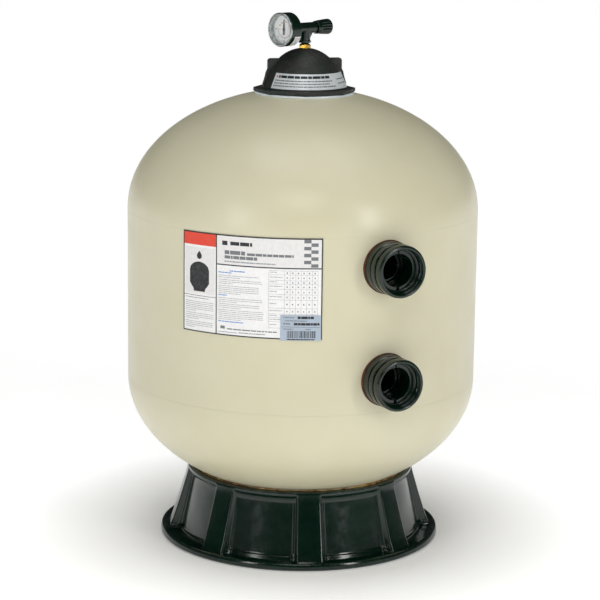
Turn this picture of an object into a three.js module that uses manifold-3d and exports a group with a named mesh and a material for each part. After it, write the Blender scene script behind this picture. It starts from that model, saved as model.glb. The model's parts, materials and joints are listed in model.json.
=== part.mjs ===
// Side-mount sand filter tank for a swimming pool, for a 24 inch tank with two 2 inch ports.
// A filament-wound tank of two domes and a barrel stands in a moulded foot. The water comes in at the upper
// port, rises to a diffuser under the neck, and leaves by slotted laterals on a hub, the riser and the
// lower port. A screwed closure shuts the neck and carries the air relief valve and the pressure gauge,
// and a capped drain runs out below.
//
// Millimetres, +Z up. The ports face -Y. The origin is on the floor at the centre of the bounding box.
// Pieces are modelled about the tank's own axis, with azimuths from -Y (the ports' side) towards +X.

import * as THREE from "three";
import { mergeVertices } from "three/addons/utils/BufferGeometryUtils.js";
import Module from "manifold-3d";

const wasm = await Module();
wasm.setup();

// ---------------------------------------------------------------- driving dimensions

const GAP = 0.3; // left between pieces that touch
const INCH_2_BORE = 26.4; // radius of the water way through a 2 inch port
const QUARTER_TURN = Math.PI / 2;

const TANK = {
  radius: 305,
  wall: 8,
  barrelBottom: 287.5,
  barrelTop: 584,
  upperRise: 207,
  lowerRise: 203,
  neckHole: 76.5,
  drainHole: 17,
  portHole: 34.5,
  sides: 36,
};

const PORT = {
  upperZ: 532,
  lowerZ: 343,
  faceReach: 355, // tank axis to the mouth of a port
  ringRadius: 43.5,
  sleeveRadius: 33.2,
  sleeveEnd: 337.5,
  flangeRadius: 46,
  sides: 16,
};

const FOOT = {
  height: 124,
  flangeRadius: 246.5,
  flangeTop: 12,
  flangeSides: 40,
  restRadius: 234, // inner edge of the flat ring that the foot stands on
  edge: 4, // of the flange's two bevels
  ribRadiusTop: 200,
  ribRadiusBottom: 233,
  panelRadiusTop: 188.5,
  panelRadiusBottom: 215,
  lipRadius: 183.2,
  wall: 4,
  ribs: 8,
  ribHalfAngle: 5.9, // degrees
  stepAngle: 2.1, // degrees taken by a rib's side
};

// The neck's bore and the closure's plug are plain cylinders at the roots of their two threads.
const NECK = { top: 786.3, flangeRadius: 86.5, outerRadius: 75.9, lipRadius: 91, bore: 71, bottom: 764.5 };

const CLOSURE = {
  flangeBottom: 786.7,
  flangeTop: 793.2,
  cornerRadius: 88.5,
  plugRadius: 60.4,
  plugBore: 57.5,
  plugBottom: 760,
  skirtRadius: 74.4,
  bandLow: { radius: 72.8, z: 796 },
  bandHigh: { radius: 60.6, z: 822.3 },
  bandFrom: -78.4, // azimuths of the ends of its label
  bandTo: 67.4,
  shoulder: { radius: 42.8, z: 844.5 }, // where the cone ends and the cap begins
  crown: 861,
  wall: 5,
  boreTop: 816,
  stemHole: 7,
  sealRadius: 78,
  sealHalfWidth: 2.7,
  cornerAzimuth: -24.4,
  lugAzimuth: -104,
  lugReach: 65.2,
  lugTop: 843.5,
  lugThickness: 10,
  sides: 24,
};

const VALVE = {
  axisZ: 894.7,
  azimuth: -72.4, // the way the gauge faces, in degrees
  barrelRadius: 9.5,
  footRadius: 9.8,
  footBottom: 869.6,
  gaugeEnd: 30,
  knobEnd: -21,
};

const GAUGE = { front: 61, back: 34, caseRadius: 28.7, caseBore: 26.3, dialBack: 48.8, sides: 24 };

const KNOB = { inner: -24, outer: -56, radius: 12.4, ribs: 12 };

const PIPE = { outer: 25.6, bore: 22, socket: 26, fitting: 30.5, bendRadius: 34, sides: 16 };

const HUB = { z: 148, radius: 36, top: 186, bottom: 130, laterals: 8 };

const LATERAL = { start: 24, shoulder: 37, tip: 176, radius: 12, spigotRadius: 8.8, sides: 8 };

const AIR_TUBE = { y: 72, top: 728, radius: 4.5, bend: 20 };

const DRAIN = {
  pipeZ: 40,
  pipeEnd: 266,
  pipeRadius: 13,
  pipeBore: 10,
  tubeRadius: 14.5,
  tubeEnd: 65,
  capRadius: 18.8,
  capBore: 15.4,
  bend: 21,
  elbowRadius: 18.5,
};

const LABEL = {
  left: -66.9, // degrees
  right: -21.1,
  bottom: 416.3,
  top: 583.5,
  stickerLeft: -33.8,
  stickerRight: -21.4,
  stickerBottom: 414.8,
  stickerTop: 457,
};

// ---------------------------------------------------------------- materials

const paint = (color, roughness, metalness = 0) =>
  new THREE.MeshStandardMaterial({ color, roughness, metalness });

const MATERIAL = {
  almond: paint(0xd8cfae, 0.42),
  footBlack: paint(0x1c2625, 0.25),
  closureBlack: paint(0x2e3330, 0.7),
  glossBlack: paint(0x101a17, 0.22),
  rubber: paint(0x171717, 0.85),
  redRubber: paint(0x5a3328, 0.8),
  neckWhite: paint(0xdfe8ec, 0.35),
  labelWhite: paint(0xf3f2f0, 0.5),
  labelSilver: paint(0xc9ced0, 0.35, 0.6),
  brass: paint(0xb98f3a, 0.3, 1),
  bezel: paint(0x9aa09f, 0.35, 0.8),
  glass: paint(0xf4fafa, 0.05),
  pvc: paint(0xe9eae6, 0.45),
};

// ---------------------------------------------------------------- shape helpers

const radians = THREE.MathUtils.degToRad;

// The geometry as a manifold solid, and back.
function solidOf(geometry) {
  const triangles = geometry.index ? geometry.toNonIndexed() : geometry;
  const bare = new THREE.BufferGeometry().setAttribute("position", triangles.getAttribute("position"));
  const merged = mergeVertices(bare, 1e-4);
  return new wasm.Manifold(
    new wasm.Mesh({
      numProp: 3,
      vertProperties: merged.attributes.position.array,
      triVerts: new Uint32Array(merged.index.array),
    }),
  );
}

function geometryOf(solid) {
  const mesh = solid.getMesh();
  return new THREE.BufferGeometry()
    .setAttribute("position", new THREE.BufferAttribute(mesh.vertProperties, 3))
    .setIndex(new THREE.BufferAttribute(mesh.triVerts, 1));
}

const combine = (method) => (first, ...others) =>
  geometryOf(others.reduce((solid, other) => solid[method](solidOf(other)), solidOf(first)));
const join = combine("add");
const cut = combine("subtract");
const keep = combine("intersect");

// Turns a profile of [radius, z] points about Z. The points run anticlockwise, with radius to the right and z
// up, and either start and end on the axis or close on themselves.
function revolve(profile, sides) {
  const closed = profile[0][0] === 0 ? profile : [...profile, profile[0]];
  const points = closed.map(([radius, z]) => new THREE.Vector2(radius, z));
  return new THREE.LatheGeometry(points, sides).rotateX(QUARTER_TURN);
}

const ring = (inner, outer, low, high, sides) =>
  revolve([[inner, low], [outer, low], [outer, high], [inner, high]], sides);

const rod = (radius, low, high, sides) =>
  revolve([[0, low], [radius, low], [radius, high], [0, high]], sides);

// Points along a quarter ellipse about z0, from one angle to another, in degrees above the horizontal.
function ellipsePoints(radius, rise, z0, from, to, steps) {
  return Array.from({ length: steps + 1 }, (_, i) => {
    const angle = radians(from + ((to - from) * i) / steps);
    return [radius * Math.cos(angle), z0 + rise * Math.sin(angle)];
  });
}

const angleWhereRadiusIs = (radius, full) => THREE.MathUtils.radToDeg(Math.acos(radius / full));

// A prism with the outline given as [x, y] points, from z = low to z = high.
function prism(outline, low, high) {
  const shape = new THREE.Shape(outline.map(([x, y]) => new THREE.Vector2(x, y)));
  return new THREE.ExtrudeGeometry(shape, { depth: high - low, bevelEnabled: false }).translate(0, 0, low);
}

const polygon = (radius, sides, turn = 0) =>
  Array.from({ length: sides }, (_, i) => {
    const angle = radians(turn) + (2 * Math.PI * i) / sides;
    return [radius * Math.cos(angle), radius * Math.sin(angle)];
  });

// A direction in the XY plane, from an azimuth measured from -Y towards +X.
const heading = (azimuth) => [Math.sin(radians(azimuth)), -Math.cos(radians(azimuth))];

// A closed surface over a grid of points that wraps round in both directions, facing out.
function closedSurface(positions, rows, columns) {
  const index = [];
  for (let i = 0; i < rows; i++) {
    const nextRow = (i + 1) % rows;
    for (let j = 0; j < columns; j++) {
      const nextColumn = (j + 1) % columns;
      const [a, b] = [i * columns + j, i * columns + nextColumn];
      const [c, d] = [nextRow * columns + nextColumn, nextRow * columns + j];
      index.push(a, b, c, a, c, d);
    }
  }
  const geometry = new THREE.BufferGeometry()
    .setAttribute("position", new THREE.Float32BufferAttribute(positions, 3))
    .setIndex(index);
  return solidVolume(geometry) < 0 ? flipped(geometry) : geometry;
}

function solidVolume(geometry) {
  const points = geometry.getAttribute("position");
  const [a, b, c] = [new THREE.Vector3(), new THREE.Vector3(), new THREE.Vector3()];
  let volume = 0;
  for (let i = 0; i < geometry.index.count; i += 3) {
    const corner = (vector, k) => vector.fromBufferAttribute(points, geometry.index.getX(i + k));
    volume += corner(a, 0).dot(corner(b, 1).cross(corner(c, 2))) / 6;
  }
  return volume;
}

function flipped(geometry) {
  const turned = Array.from(geometry.index.array).reverse();
  return geometry.clone().setIndex(turned);
}

// The part of a ring between two azimuths.
function sector(geometry, from, to, reach, low, high) {
  const corners = [from, (from + to) / 2, to].map((azimuth) => heading(azimuth).map((part) => part * reach));
  return keep(geometry, prism([[0, 0], ...corners], low, high));
}

// A point on a centre line in the YZ plane, and the way across it. The line comes along +Y, bends a quarter
// turn about the corner at the origin, and goes on along +Z, or along -Z where side is -1. Its distance is 0
// where the bend starts.
function centreLine(distance, bend, side) {
  const angle = THREE.MathUtils.clamp(distance / bend, 0, QUARTER_TURN);
  const before = Math.min(distance, 0);
  const after = Math.max(distance - bend * QUARTER_TURN, 0);
  return {
    y: bend * (Math.sin(angle) - 1) + before,
    z: side * (bend * (1 - Math.cos(angle)) + after),
    across: [-side * Math.sin(angle), Math.cos(angle)],
  };
}

// A bent pipe. Its wall's outline is a closed loop of [distance, radius] points: outside first, then inside.
function bentPipe(outline, { bend, upward, sides }) {
  const side = upward ? 1 : -1;
  const positions = [];
  for (const [distance, radius] of outline) {
    const { y, z, across } = centreLine(distance, bend, side);
    for (let i = 0; i < sides; i++) {
      const angle = ((2 * i) / sides) * Math.PI;
      const reach = radius * Math.sin(angle);
      positions.push(radius * Math.cos(angle), y + reach * across[0], z + reach * across[1]);
    }
  }
  return closedSurface(positions, outline.length, sides);
}

// The distances at which a bend's sections stand, from its start to its end.
const bendSteps = (bend, steps) =>
  Array.from({ length: steps + 1 }, (_, i) => (i / steps) * bend * QUARTER_TURN);

// A quarter-turn fitting with a socket for a pipe at each end.
function elbow({ outer, socket, bore, bend, bendSections, socketDepth, shoulder, upward, sides }) {
  const steps = bendSteps(bend, bendSections);
  const end = steps.at(-1) + shoulder + socketDepth;
  const start = -shoulder - socketDepth;
  const outline = [
    [start, outer],
    ...steps.map((distance) => [distance, outer]),
    [end, outer],
    [end, socket],
    [end - socketDepth, socket],
    [end - socketDepth, bore],
    ...steps.reverse().map((distance) => [distance, bore]),
    [-shoulder, bore],
    [-shoulder, socket],
    [start, socket],
  ];
  return bentPipe(outline, { bend, upward, sides });
}

// ---------------------------------------------------------------- the assembly

const root = new THREE.Group();
const assembly = new THREE.Group();
assembly.position.y = (PORT.faceReach - TANK.radius) / 2; // puts the bounding box's centre at the origin
root.add(assembly);

function add(name, geometry, material, parent = assembly) {
  const mesh = new THREE.Mesh(geometry, material);
  mesh.name = name;
  parent.add(mesh);
  return mesh;
}

// ---------------------------------------------------------------- tank

function addTank() {
  const { radius, wall, barrelBottom, barrelTop, upperRise, lowerRise, sides } = TANK;
  const inner = radius - wall;
  const steps = 6;
  const dome = (rise, z0, hole, sign) => {
    const outside = ellipsePoints(radius, sign * rise, z0, 0, angleWhereRadiusIs(hole, radius), steps);
    const inside = ellipsePoints(inner, sign * (rise - wall), z0, angleWhereRadiusIs(hole, inner), 0, steps);
    const profile = [...outside, ...inside];
    return revolve(sign > 0 ? profile : profile.reverse(), sides);
  };
  add("tank_upper_dome", dome(upperRise, barrelTop + GAP / 2, TANK.neckHole, 1), MATERIAL.almond);
  add("tank_lower_dome", dome(lowerRise, barrelBottom - GAP / 2, TANK.drainHole, -1), MATERIAL.almond);

  const barrel = ring(inner, radius, barrelBottom + GAP / 2, barrelTop - GAP / 2, sides);
  const holes = [PORT.upperZ, PORT.lowerZ].map((z) =>
    rod(TANK.portHole, inner - 20, radius + 20, PORT.sides).rotateX(QUARTER_TURN).translate(0, 0, z),
  );
  add("tank_barrel", cut(barrel, ...holes), MATERIAL.almond);
}

function addLabels() {
  const { left, right, bottom, top, stickerLeft, stickerRight, stickerBottom, stickerTop } = LABEL;
  const fineSides = 2 * TANK.sides;
  const plate = (clearance, thickness, low, high, from, to) =>
    sector(
      ring(TANK.radius + clearance, TANK.radius + clearance + thickness, low, high, fineSides),
      from,
      to,
      2 * TANK.radius,
      low - 1,
      high + 1,
    );
  add("instruction_label", plate(0.7, 0.5, bottom, top, left, right), MATERIAL.labelWhite);
  const sticker = plate(1.6, 0.4, stickerBottom, stickerTop, stickerLeft, stickerRight);
  add("serial_sticker", sticker, MATERIAL.labelSilver);
}

// ---------------------------------------------------------------- foot

// A ring whose radius changes round it between ribs and recessed panels. Each station of the closed
// profile has a z and the radius on a rib and on a panel.
function ribbedRing(stations, ribs, ribHalfAngle, stepAngle) {
  const pitch = 360 / ribs;
  const panelSpan = pitch - 2 * (ribHalfAngle + stepAngle);
  const offsets = [
    [-ribHalfAngle, "rib"],
    [ribHalfAngle, "rib"],
    ...[0, 1 / 2, 1].map((share) => [ribHalfAngle + stepAngle + share * panelSpan, "panel"]),
  ];
  const columns = [];
  for (let k = 0; k < ribs; k++)
    for (const [offset, kind] of offsets) columns.push({ azimuth: (k + 0.5) * pitch + offset, kind });

  const positions = [];
  for (const { azimuth, kind } of columns) {
    const [x, y] = heading(azimuth);
    for (const station of stations) positions.push(x * station[kind], y * station[kind], station.z);
  }
  return closedSurface(positions, columns.length, stations.length);
}

function addFoot() {
  const { height, flangeRadius, flangeTop, wall, lipRadius, ribs, ribHalfAngle, stepAngle } = FOOT;
  const { ribRadiusTop, ribRadiusBottom, panelRadiusTop, panelRadiusBottom } = FOOT;
  const { restRadius, edge, flangeSides } = FOOT;
  const level = (z, radius) => ({ z, rib: radius, panel: radius });
  const wallBottom = flangeTop + GAP;
  const stations = [
    { z: wallBottom, rib: ribRadiusBottom, panel: panelRadiusBottom },
    { z: height - 3, rib: ribRadiusTop, panel: panelRadiusTop },
    { z: height, rib: ribRadiusTop - 3, panel: panelRadiusTop - 2 },
    level(height, lipRadius),
    { z: height - wall, rib: ribRadiusTop - wall - 2, panel: lipRadius + 1 },
    { z: wallBottom, rib: ribRadiusBottom - wall, panel: panelRadiusBottom - wall },
  ];
  const shell = ribbedRing(stations, ribs, ribHalfAngle, stepAngle);
  const drainHole = rod(DRAIN.pipeRadius + 3, 150, 260, 16).rotateX(-QUARTER_TURN);
  add("foot", cut(shell, drainHole.translate(0, 0, DRAIN.pipeZ)), MATERIAL.footBlack);

  // The flange is one moulding with the wall, and a ring of its own here.
  const inner = panelRadiusBottom - wall;
  const flange = [
    [inner, flangeTop - wall],
    [restRadius, 0],
    [flangeRadius - edge, 0],
    [flangeRadius, edge],
    [flangeRadius, flangeTop - edge],
    [flangeRadius - edge, flangeTop],
    [inner, flangeTop],
  ];
  add("foot_flange", revolve(flange, flangeSides), MATERIAL.footBlack);
}

// ---------------------------------------------------------------- ports

// Pieces of a port are turned about Z with their distance from the tank's axis as z, then laid along -Y.
function addPort(prefix, z) {
  const { ringRadius, sleeveRadius, sleeveEnd, faceReach, flangeRadius, sides } = PORT;
  const group = new THREE.Group();
  group.rotation.x = QUARTER_TURN;
  group.position.z = z;
  assembly.add(group);
  const tankCylinder = (radius) => new THREE.CylinderGeometry(radius, radius, 200, 80);
  const outerWall = tankCylinder(TANK.radius + 2 * GAP);
  const innerWall = tankCylinder(TANK.radius - TANK.wall - 4 * GAP);

  const flangeInner = 275;
  const flangeOuter = 283;
  const bulkhead = revolve(
    [
      [INCH_2_BORE, flangeInner],
      [flangeRadius, flangeInner],
      [flangeRadius, flangeOuter],
      [sleeveRadius, flangeOuter],
      [sleeveRadius, sleeveEnd],
      [INCH_2_BORE, sleeveEnd],
    ],
    sides,
  );
  const keyway = new THREE.BoxGeometry(5, 60, 6).translate(0, 0, sleeveEnd);
  add(prefix + "_port_bulkhead", cut(bulkhead, keyway), MATERIAL.glossBlack, group);

  const clearSleeve = sleeveRadius + 1;
  const innerGasket = keep(ring(clearSleeve, flangeRadius, flangeOuter + GAP, 300, sides), innerWall);
  add(prefix + "_port_inner_gasket", innerGasket, MATERIAL.rubber, group);
  const outerGasket = cut(ring(clearSleeve, ringRadius + 1, 296, 307, sides), outerWall);
  add(prefix + "_port_outer_gasket", outerGasket, MATERIAL.redRubber, group);
  const grooveRadius = 41.2;
  const nut = [
    [sleeveRadius + GAP, 307 + GAP],
    [ringRadius, 307 + GAP],
    [ringRadius, 320],
    [grooveRadius, 320.6],
    [grooveRadius, 323.5],
    [ringRadius - 1, 323.8],
    [ringRadius, 325],
    [ringRadius, 334],
    [ringRadius - 1, 335.2],
    [sleeveRadius + GAP, 335.2],
  ];
  add(prefix + "_port_nut", revolve(nut, sides), MATERIAL.glossBlack, group);
  const collar = [
    [sleeveRadius + GAP, 335.2 + GAP],
    [grooveRadius, 335.2 + GAP],
    [grooveRadius, 340],
    [ringRadius, 341],
    [ringRadius, faceReach - 2.5],
    [ringRadius - 2, faceReach],
    [36.8, faceReach],
    [34.6, 338.5],
    [sleeveRadius + GAP, 338.5],
  ];
  add(prefix + "_port_collar", revolve(collar, sides), MATERIAL.glossBlack, group);
}

// ---------------------------------------------------------------- pipework inside the tank

const ELBOW = {
  outer: PIPE.fitting,
  socket: PIPE.socket,
  bore: PIPE.bore - 1,
  bend: PIPE.bendRadius,
  bendSections: 4,
  socketDepth: 20,
  shoulder: 3,
  sides: PIPE.sides,
};
const PIPE_START = ELBOW.bend + ELBOW.shoulder + GAP; // from an elbow's corner to the pipe in its socket
const LEVEL_PIPE_END = 298; // from the tank's axis to the end of a level pipe in its bulkhead

const pipe = (low, high) => ring(PIPE.bore, PIPE.outer, low, high, PIPE.sides);

function addInletPipework() {
  const level = add("inlet_pipe", pipe(PIPE_START, LEVEL_PIPE_END), MATERIAL.glossBlack);
  level.rotation.x = QUARTER_TURN;
  level.position.z = PORT.upperZ;
  add("inlet_elbow", elbow({ ...ELBOW, upward: true }), MATERIAL.pvc).position.z = PORT.upperZ;
  const riserTop = 706;
  add("inlet_riser", pipe(PORT.upperZ + PIPE_START, riserTop), MATERIAL.pvc);

  const bowl = [
    [PIPE.socket, 688],
    [PIPE.fitting, 688],
    [PIPE.fitting, 704],
    [53, 716],
    [53, 719],
    [41, 719],
    [PIPE.fitting, 710],
    [PIPE.bore, 710],
    [PIPE.bore, riserTop + GAP],
    [PIPE.socket, riserTop + GAP],
  ];
  const cover = revolve([[0, 733], [55, 731], [55, 734], [38, 740], [0, 742]], 18);
  const posts = [0, 1, 2, 3].map((k) => {
    const [x, y] = heading(45 + 90 * k).map((part) => part * 46);
    return rod(3, 717, 735, 6).translate(x, y, 0);
  });
  add("diffuser", join(revolve(bowl, 18), cover, ...posts), MATERIAL.pvc);
}

function addOutletPipework() {
  const level = add("outlet_pipe", pipe(PIPE_START, LEVEL_PIPE_END), MATERIAL.glossBlack);
  level.rotation.x = QUARTER_TURN;
  level.position.z = PORT.lowerZ;
  const body = elbow({ ...ELBOW, bendSections: 3, upward: false });
  const tubeHole = rod(AIR_TUBE.radius + GAP, 5, 60, 8).rotateX(-QUARTER_TURN);
  add("outlet_elbow", cut(body, tubeHole), MATERIAL.pvc).position.z = PORT.lowerZ;
  add("outlet_riser", pipe(HUB.top - 18, PORT.lowerZ - PIPE_START), MATERIAL.pvc);

  const hubProfile = [
    [0, HUB.bottom],
    [HUB.radius, HUB.bottom],
    [HUB.radius, 168],
    [PIPE.fitting, 172],
    [PIPE.fitting, HUB.top],
    [PIPE.socket, HUB.top],
    [PIPE.socket, HUB.top - 20],
    [21, HUB.top - 20],
    [21, HUB.bottom + 6],
    [0, HUB.bottom + 6],
  ];
  const sockets = Array.from({ length: HUB.laterals }, (_, k) =>
    rod(LATERAL.spigotRadius + GAP, 15, 45, LATERAL.sides)
      .rotateY(QUARTER_TURN)
      .rotateZ((2 * Math.PI * k) / HUB.laterals)
      .translate(0, 0, HUB.z),
  );
  add("lateral_hub", cut(revolve(hubProfile, 16), ...sockets), MATERIAL.pvc);

  const lateralProfile = [
    [6, LATERAL.start],
    [LATERAL.spigotRadius, LATERAL.start],
    [LATERAL.spigotRadius, LATERAL.shoulder],
    [LATERAL.radius, LATERAL.shoulder],
    [LATERAL.radius, LATERAL.tip - 3],
    [8, LATERAL.tip],
    [0, LATERAL.tip],
    [0, LATERAL.tip - 4],
    [6, LATERAL.tip - 4],
  ];
  // The tube's bore opens at the spigot, so the profile starts and ends on the axis at the closed tip.
  const turned = [...lateralProfile.slice(7), ...lateralProfile.slice(0, 7)];
  for (let k = 0; k < HUB.laterals; k++) {
    const geometry = revolve(turned, LATERAL.sides).rotateY(QUARTER_TURN);
    const lateral = add("lateral_" + (k + 1), geometry, MATERIAL.pvc);
    lateral.rotation.z = (2 * Math.PI * k) / HUB.laterals;
    lateral.position.z = HUB.z;
  }
}

function addAirTube() {
  const { y, top, radius, bend } = AIR_TUBE;
  const start = 12 + bend - y; // it begins inside the elbow's wall
  const steps = bendSteps(bend, 4);
  const end = steps.at(-1) + top - PORT.lowerZ - bend;
  const side = (wallRadius) => [start, ...steps, end].map((distance) => [distance, wallRadius]);
  const outline = [...side(radius), ...side(radius - 1.5).reverse()];
  const tube = bentPipe(outline, { bend, upward: true, sides: 8 }).translate(0, y, 0);
  add("air_relief_tube", tube, MATERIAL.pvc).position.z = PORT.lowerZ;
  const strainer = [
    [radius + GAP, top - 10],
    [7, top - 10],
    [7, top + 8],
    [0, top + 10],
    [0, top + GAP],
    [radius + GAP, top + GAP],
  ];
  add("air_relief_strainer", revolve(strainer, 10), MATERIAL.pvc).position.y = y;
}

// ---------------------------------------------------------------- drain

function addDrain() {
  const { pipeZ, pipeEnd, pipeRadius, pipeBore, tubeRadius, tubeEnd } = DRAIN;
  const { capRadius, capBore, bend, elbowRadius } = DRAIN;
  const sides = 12;
  const tankBottomInside = TANK.barrelBottom - TANK.lowerRise + TANK.wall;
  const flangeBottom = tankBottomInside + 1.4;
  const flangeTop = flangeBottom + 5;
  const fitting = [
    [10.5, tubeEnd],
    [tubeRadius, tubeEnd],
    [tubeRadius, flangeBottom],
    [25, flangeBottom],
    [25, flangeTop],
    [10.5, flangeTop],
  ];
  add("drain_fitting", revolve(fitting, sides), MATERIAL.glossBlack);
  const screenBottom = flangeTop + GAP;
  const screen = [
    [0, screenBottom + 17],
    [15, screenBottom + 14],
    [15, screenBottom],
    [18, screenBottom],
    [18, screenBottom + 16],
    [0, screenBottom + 20],
  ];
  add("drain_screen", revolve(screen, sides), MATERIAL.pvc);
  const nutHole = rod(tubeRadius + GAP, 60, 100, sides);
  add("drain_nut", cut(prism(polygon(27, 6), 74.5, 82.8), nutHole), MATERIAL.glossBlack);

  const shoulder = 3;
  const steps = bendSteps(bend, 4);
  const upperEnd = steps.at(-1) + 74 - pipeZ - bend;
  const tubeStop = steps.at(-1) + tubeEnd - GAP - pipeZ - bend;
  const levelEnd = -shoulder - 20;
  const elbowOutline = [
    [levelEnd, elbowRadius],
    ...steps.map((distance) => [distance, elbowRadius]),
    [upperEnd, elbowRadius],
    [upperEnd, tubeRadius + GAP],
    [tubeStop, tubeRadius + GAP],
    [tubeStop, pipeBore],
    ...steps.toReversed().map((distance) => [distance, pipeBore]),
    [-shoulder, pipeBore],
    [-shoulder, pipeRadius + GAP],
    [levelEnd, pipeRadius + GAP],
  ];
  // The bend is made from heading +Y to heading +Z. Turned about, its level end points away from the ports.
  const drainBend = bentPipe(elbowOutline, { bend, upward: true, sides }).rotateZ(Math.PI);
  add("drain_elbow", drainBend, MATERIAL.glossBlack).position.z = pipeZ;
  const pipeStart = bend + shoulder + GAP;

  const outward = new THREE.Group();
  outward.rotation.x = -QUARTER_TURN;
  outward.position.z = pipeZ;
  assembly.add(outward);
  add("drain_pipe", ring(pipeBore, pipeRadius, pipeStart, pipeEnd, sides), MATERIAL.pvc, outward);
  const gasketEnd = pipeEnd + GAP + 2;
  const gasket = ring(5, pipeRadius - GAP, pipeEnd + GAP, gasketEnd, sides);
  add("drain_cap_gasket", gasket, MATERIAL.rubber, outward);
  const skirtStart = pipeEnd - 14;
  const cap = revolve(
    [
      [0, gasketEnd + GAP],
      [capBore, gasketEnd + GAP],
      [capBore, skirtStart],
      [capRadius, skirtStart],
      [capRadius, gasketEnd + 3],
      [capRadius - 1.5, gasketEnd + 4.5],
      [0, gasketEnd + 4.5],
    ],
    sides,
  );
  const wings = new THREE.BoxGeometry(2 * capRadius + 12, 5, 12).translate(0, 0, skirtStart + 8);
  const wingGap = rod(capRadius - 1, skirtStart - 5, skirtStart + 15, sides);
  add("drain_cap", join(cap, cut(wings, wingGap)), MATERIAL.glossBlack, outward);
}

// ---------------------------------------------------------------- neck and closure

function addNeck() {
  const { top, flangeRadius, outerRadius, lipRadius, bore, bottom } = NECK;
  const profile = [
    [bore, bottom],
    [lipRadius, bottom],
    [lipRadius, 772.4],
    [outerRadius, 775.3],
    [outerRadius, 784.9],
    [flangeRadius, 783],
    [flangeRadius, top],
    [bore, top],
  ];
  add("neck_insert", revolve(profile, CLOSURE.sides), MATERIAL.neckWhite);
}

function addClosure() {
  const { flangeBottom, flangeTop, cornerRadius, bandLow, bandHigh } = CLOSURE;
  const { plugRadius, plugBore, plugBottom, skirtRadius } = CLOSURE;
  const { shoulder, crown, wall, boreTop, stemHole, sealRadius, sealHalfWidth, sides } = CLOSURE;
  const { lugAzimuth, lugReach, lugTop, lugThickness } = CLOSURE;
  const steps = 3;
  const rise = crown - shoulder.z;
  const capRadius = (shoulder.radius ** 2 + rise ** 2) / (2 * rise);
  const innerRadius = capRadius - wall;
  const centre = crown - capRadius;
  const capStart = angleWhereRadiusIs(shoulder.radius, capRadius);
  const outerEnd = angleWhereRadiusIs(stemHole, capRadius);
  const innerEnd = angleWhereRadiusIs(stemHole, innerRadius);
  const outside = ellipsePoints(capRadius, capRadius, centre, capStart, outerEnd, steps);
  const inside = ellipsePoints(innerRadius, innerRadius, centre, innerEnd, capStart, steps);
  const shell = revolve(
    [
      [plugBore, flangeBottom],
      [skirtRadius, flangeBottom],
      [skirtRadius, flangeTop],
      [bandLow.radius, bandLow.z],
      [bandHigh.radius, bandHigh.z],
      ...outside,
      ...inside,
      [plugBore, boreTop],
    ],
    sides,
  );
  const flange = cut(
    prism(polygon(cornerRadius, 8, CLOSURE.cornerAzimuth - 90), flangeBottom, flangeTop),
    rod(skirtRadius - 4, flangeBottom - 5, flangeTop + 5, sides),
    ring(sealRadius - sealHalfWidth, sealRadius + sealHalfWidth, flangeBottom - 5, flangeBottom + 3.6, sides),
  );
  const lugs = [lugAzimuth, lugAzimuth + 180].map((azimuth) => {
    const lugRoot = shoulder.radius - wall / 2;
    const outline = [
      [lugRoot, flangeTop - 1],
      [lugReach + 8.8, flangeTop - 1],
      [lugReach + 8.2, 800],
      [lugReach + 4.4, 812],
      [lugReach + 2.8, 819.5],
      [lugReach, 825.5],
      [lugReach, lugTop - 5],
      [lugReach - 1.7, lugTop - 1.2],
      [lugReach - 4.7, lugTop],
      [lugRoot, lugTop],
    ];
    const plate = prism(outline, -lugThickness / 2, lugThickness / 2).rotateX(QUARTER_TURN);
    return plate.rotateZ(radians(azimuth - 90));
  });
  const hollow = revolve(
    [
      [0, flangeBottom - 5],
      [plugBore, flangeBottom - 5],
      [plugBore, boreTop],
      ...ellipsePoints(innerRadius, innerRadius, centre, capStart, 90, steps + 1).slice(0, -1),
      [0, crown - wall],
    ],
    sides,
  );
  add("closure", join(shell, flange, ...lugs.map((lug) => cut(lug, hollow))), MATERIAL.closureBlack);

  // The plug is one moulding with the closure, and a ring of its own here.
  const plug = [
    [plugBore, plugBottom],
    [plugRadius - 1.5, plugBottom],
    [plugRadius, plugBottom + 1.5],
    [plugRadius, flangeBottom - GAP],
    [plugBore, flangeBottom - GAP],
  ];
  add("closure_plug", revolve(plug, sides), MATERIAL.closureBlack);

  const half = sealHalfWidth - GAP;
  const seal = Array.from({ length: 6 }, (_, i) => {
    const angle = (i * Math.PI) / 3;
    return [sealRadius + half * Math.cos(angle), flangeBottom + 1.5 + 1.9 * Math.sin(angle)];
  });
  add("closure_o_ring", revolve(seal, sides), MATERIAL.rubber);

  // A band of label on the wall's cone, between the two lugs.
  const offset = 0.4;
  const bandTop = 821.5;
  const slope = (bandLow.radius - bandHigh.radius) / (bandHigh.z - bandLow.z);
  const topRadius = bandHigh.radius + slope * (bandHigh.z - bandTop);
  const band = [
    [bandLow.radius + offset, bandLow.z],
    [bandLow.radius + offset + 0.5, bandLow.z],
    [topRadius + offset + 0.5, bandTop],
    [topRadius + offset, bandTop],
  ];
  const { bandFrom, bandTo } = CLOSURE;
  const middle = (bandFrom + bandTo) / 2;
  const halves = [
    sector(revolve(band, sides), bandFrom, middle + 0.5, 150, bandLow.z - 1, bandHigh.z),
    sector(revolve(band, sides), middle - 0.5, bandTo, 150, bandLow.z - 1, bandHigh.z),
  ];
  add("closure_label", join(...halves), MATERIAL.labelSilver);

  const adapter = cut(
    join(
      rod(stemHole - 0.5, 846, 862, 12),
      prism(polygon(10.6, 6), crown + 0.4, 866.4),
      rod(5.2, 866, VALVE.footBottom + 8, 12),
    ),
    rod(2.5, 840, 890, 8),
  );
  add("brass_adapter", adapter, MATERIAL.brass);
}

// ---------------------------------------------------------------- air relief valve and pressure gauge

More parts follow.
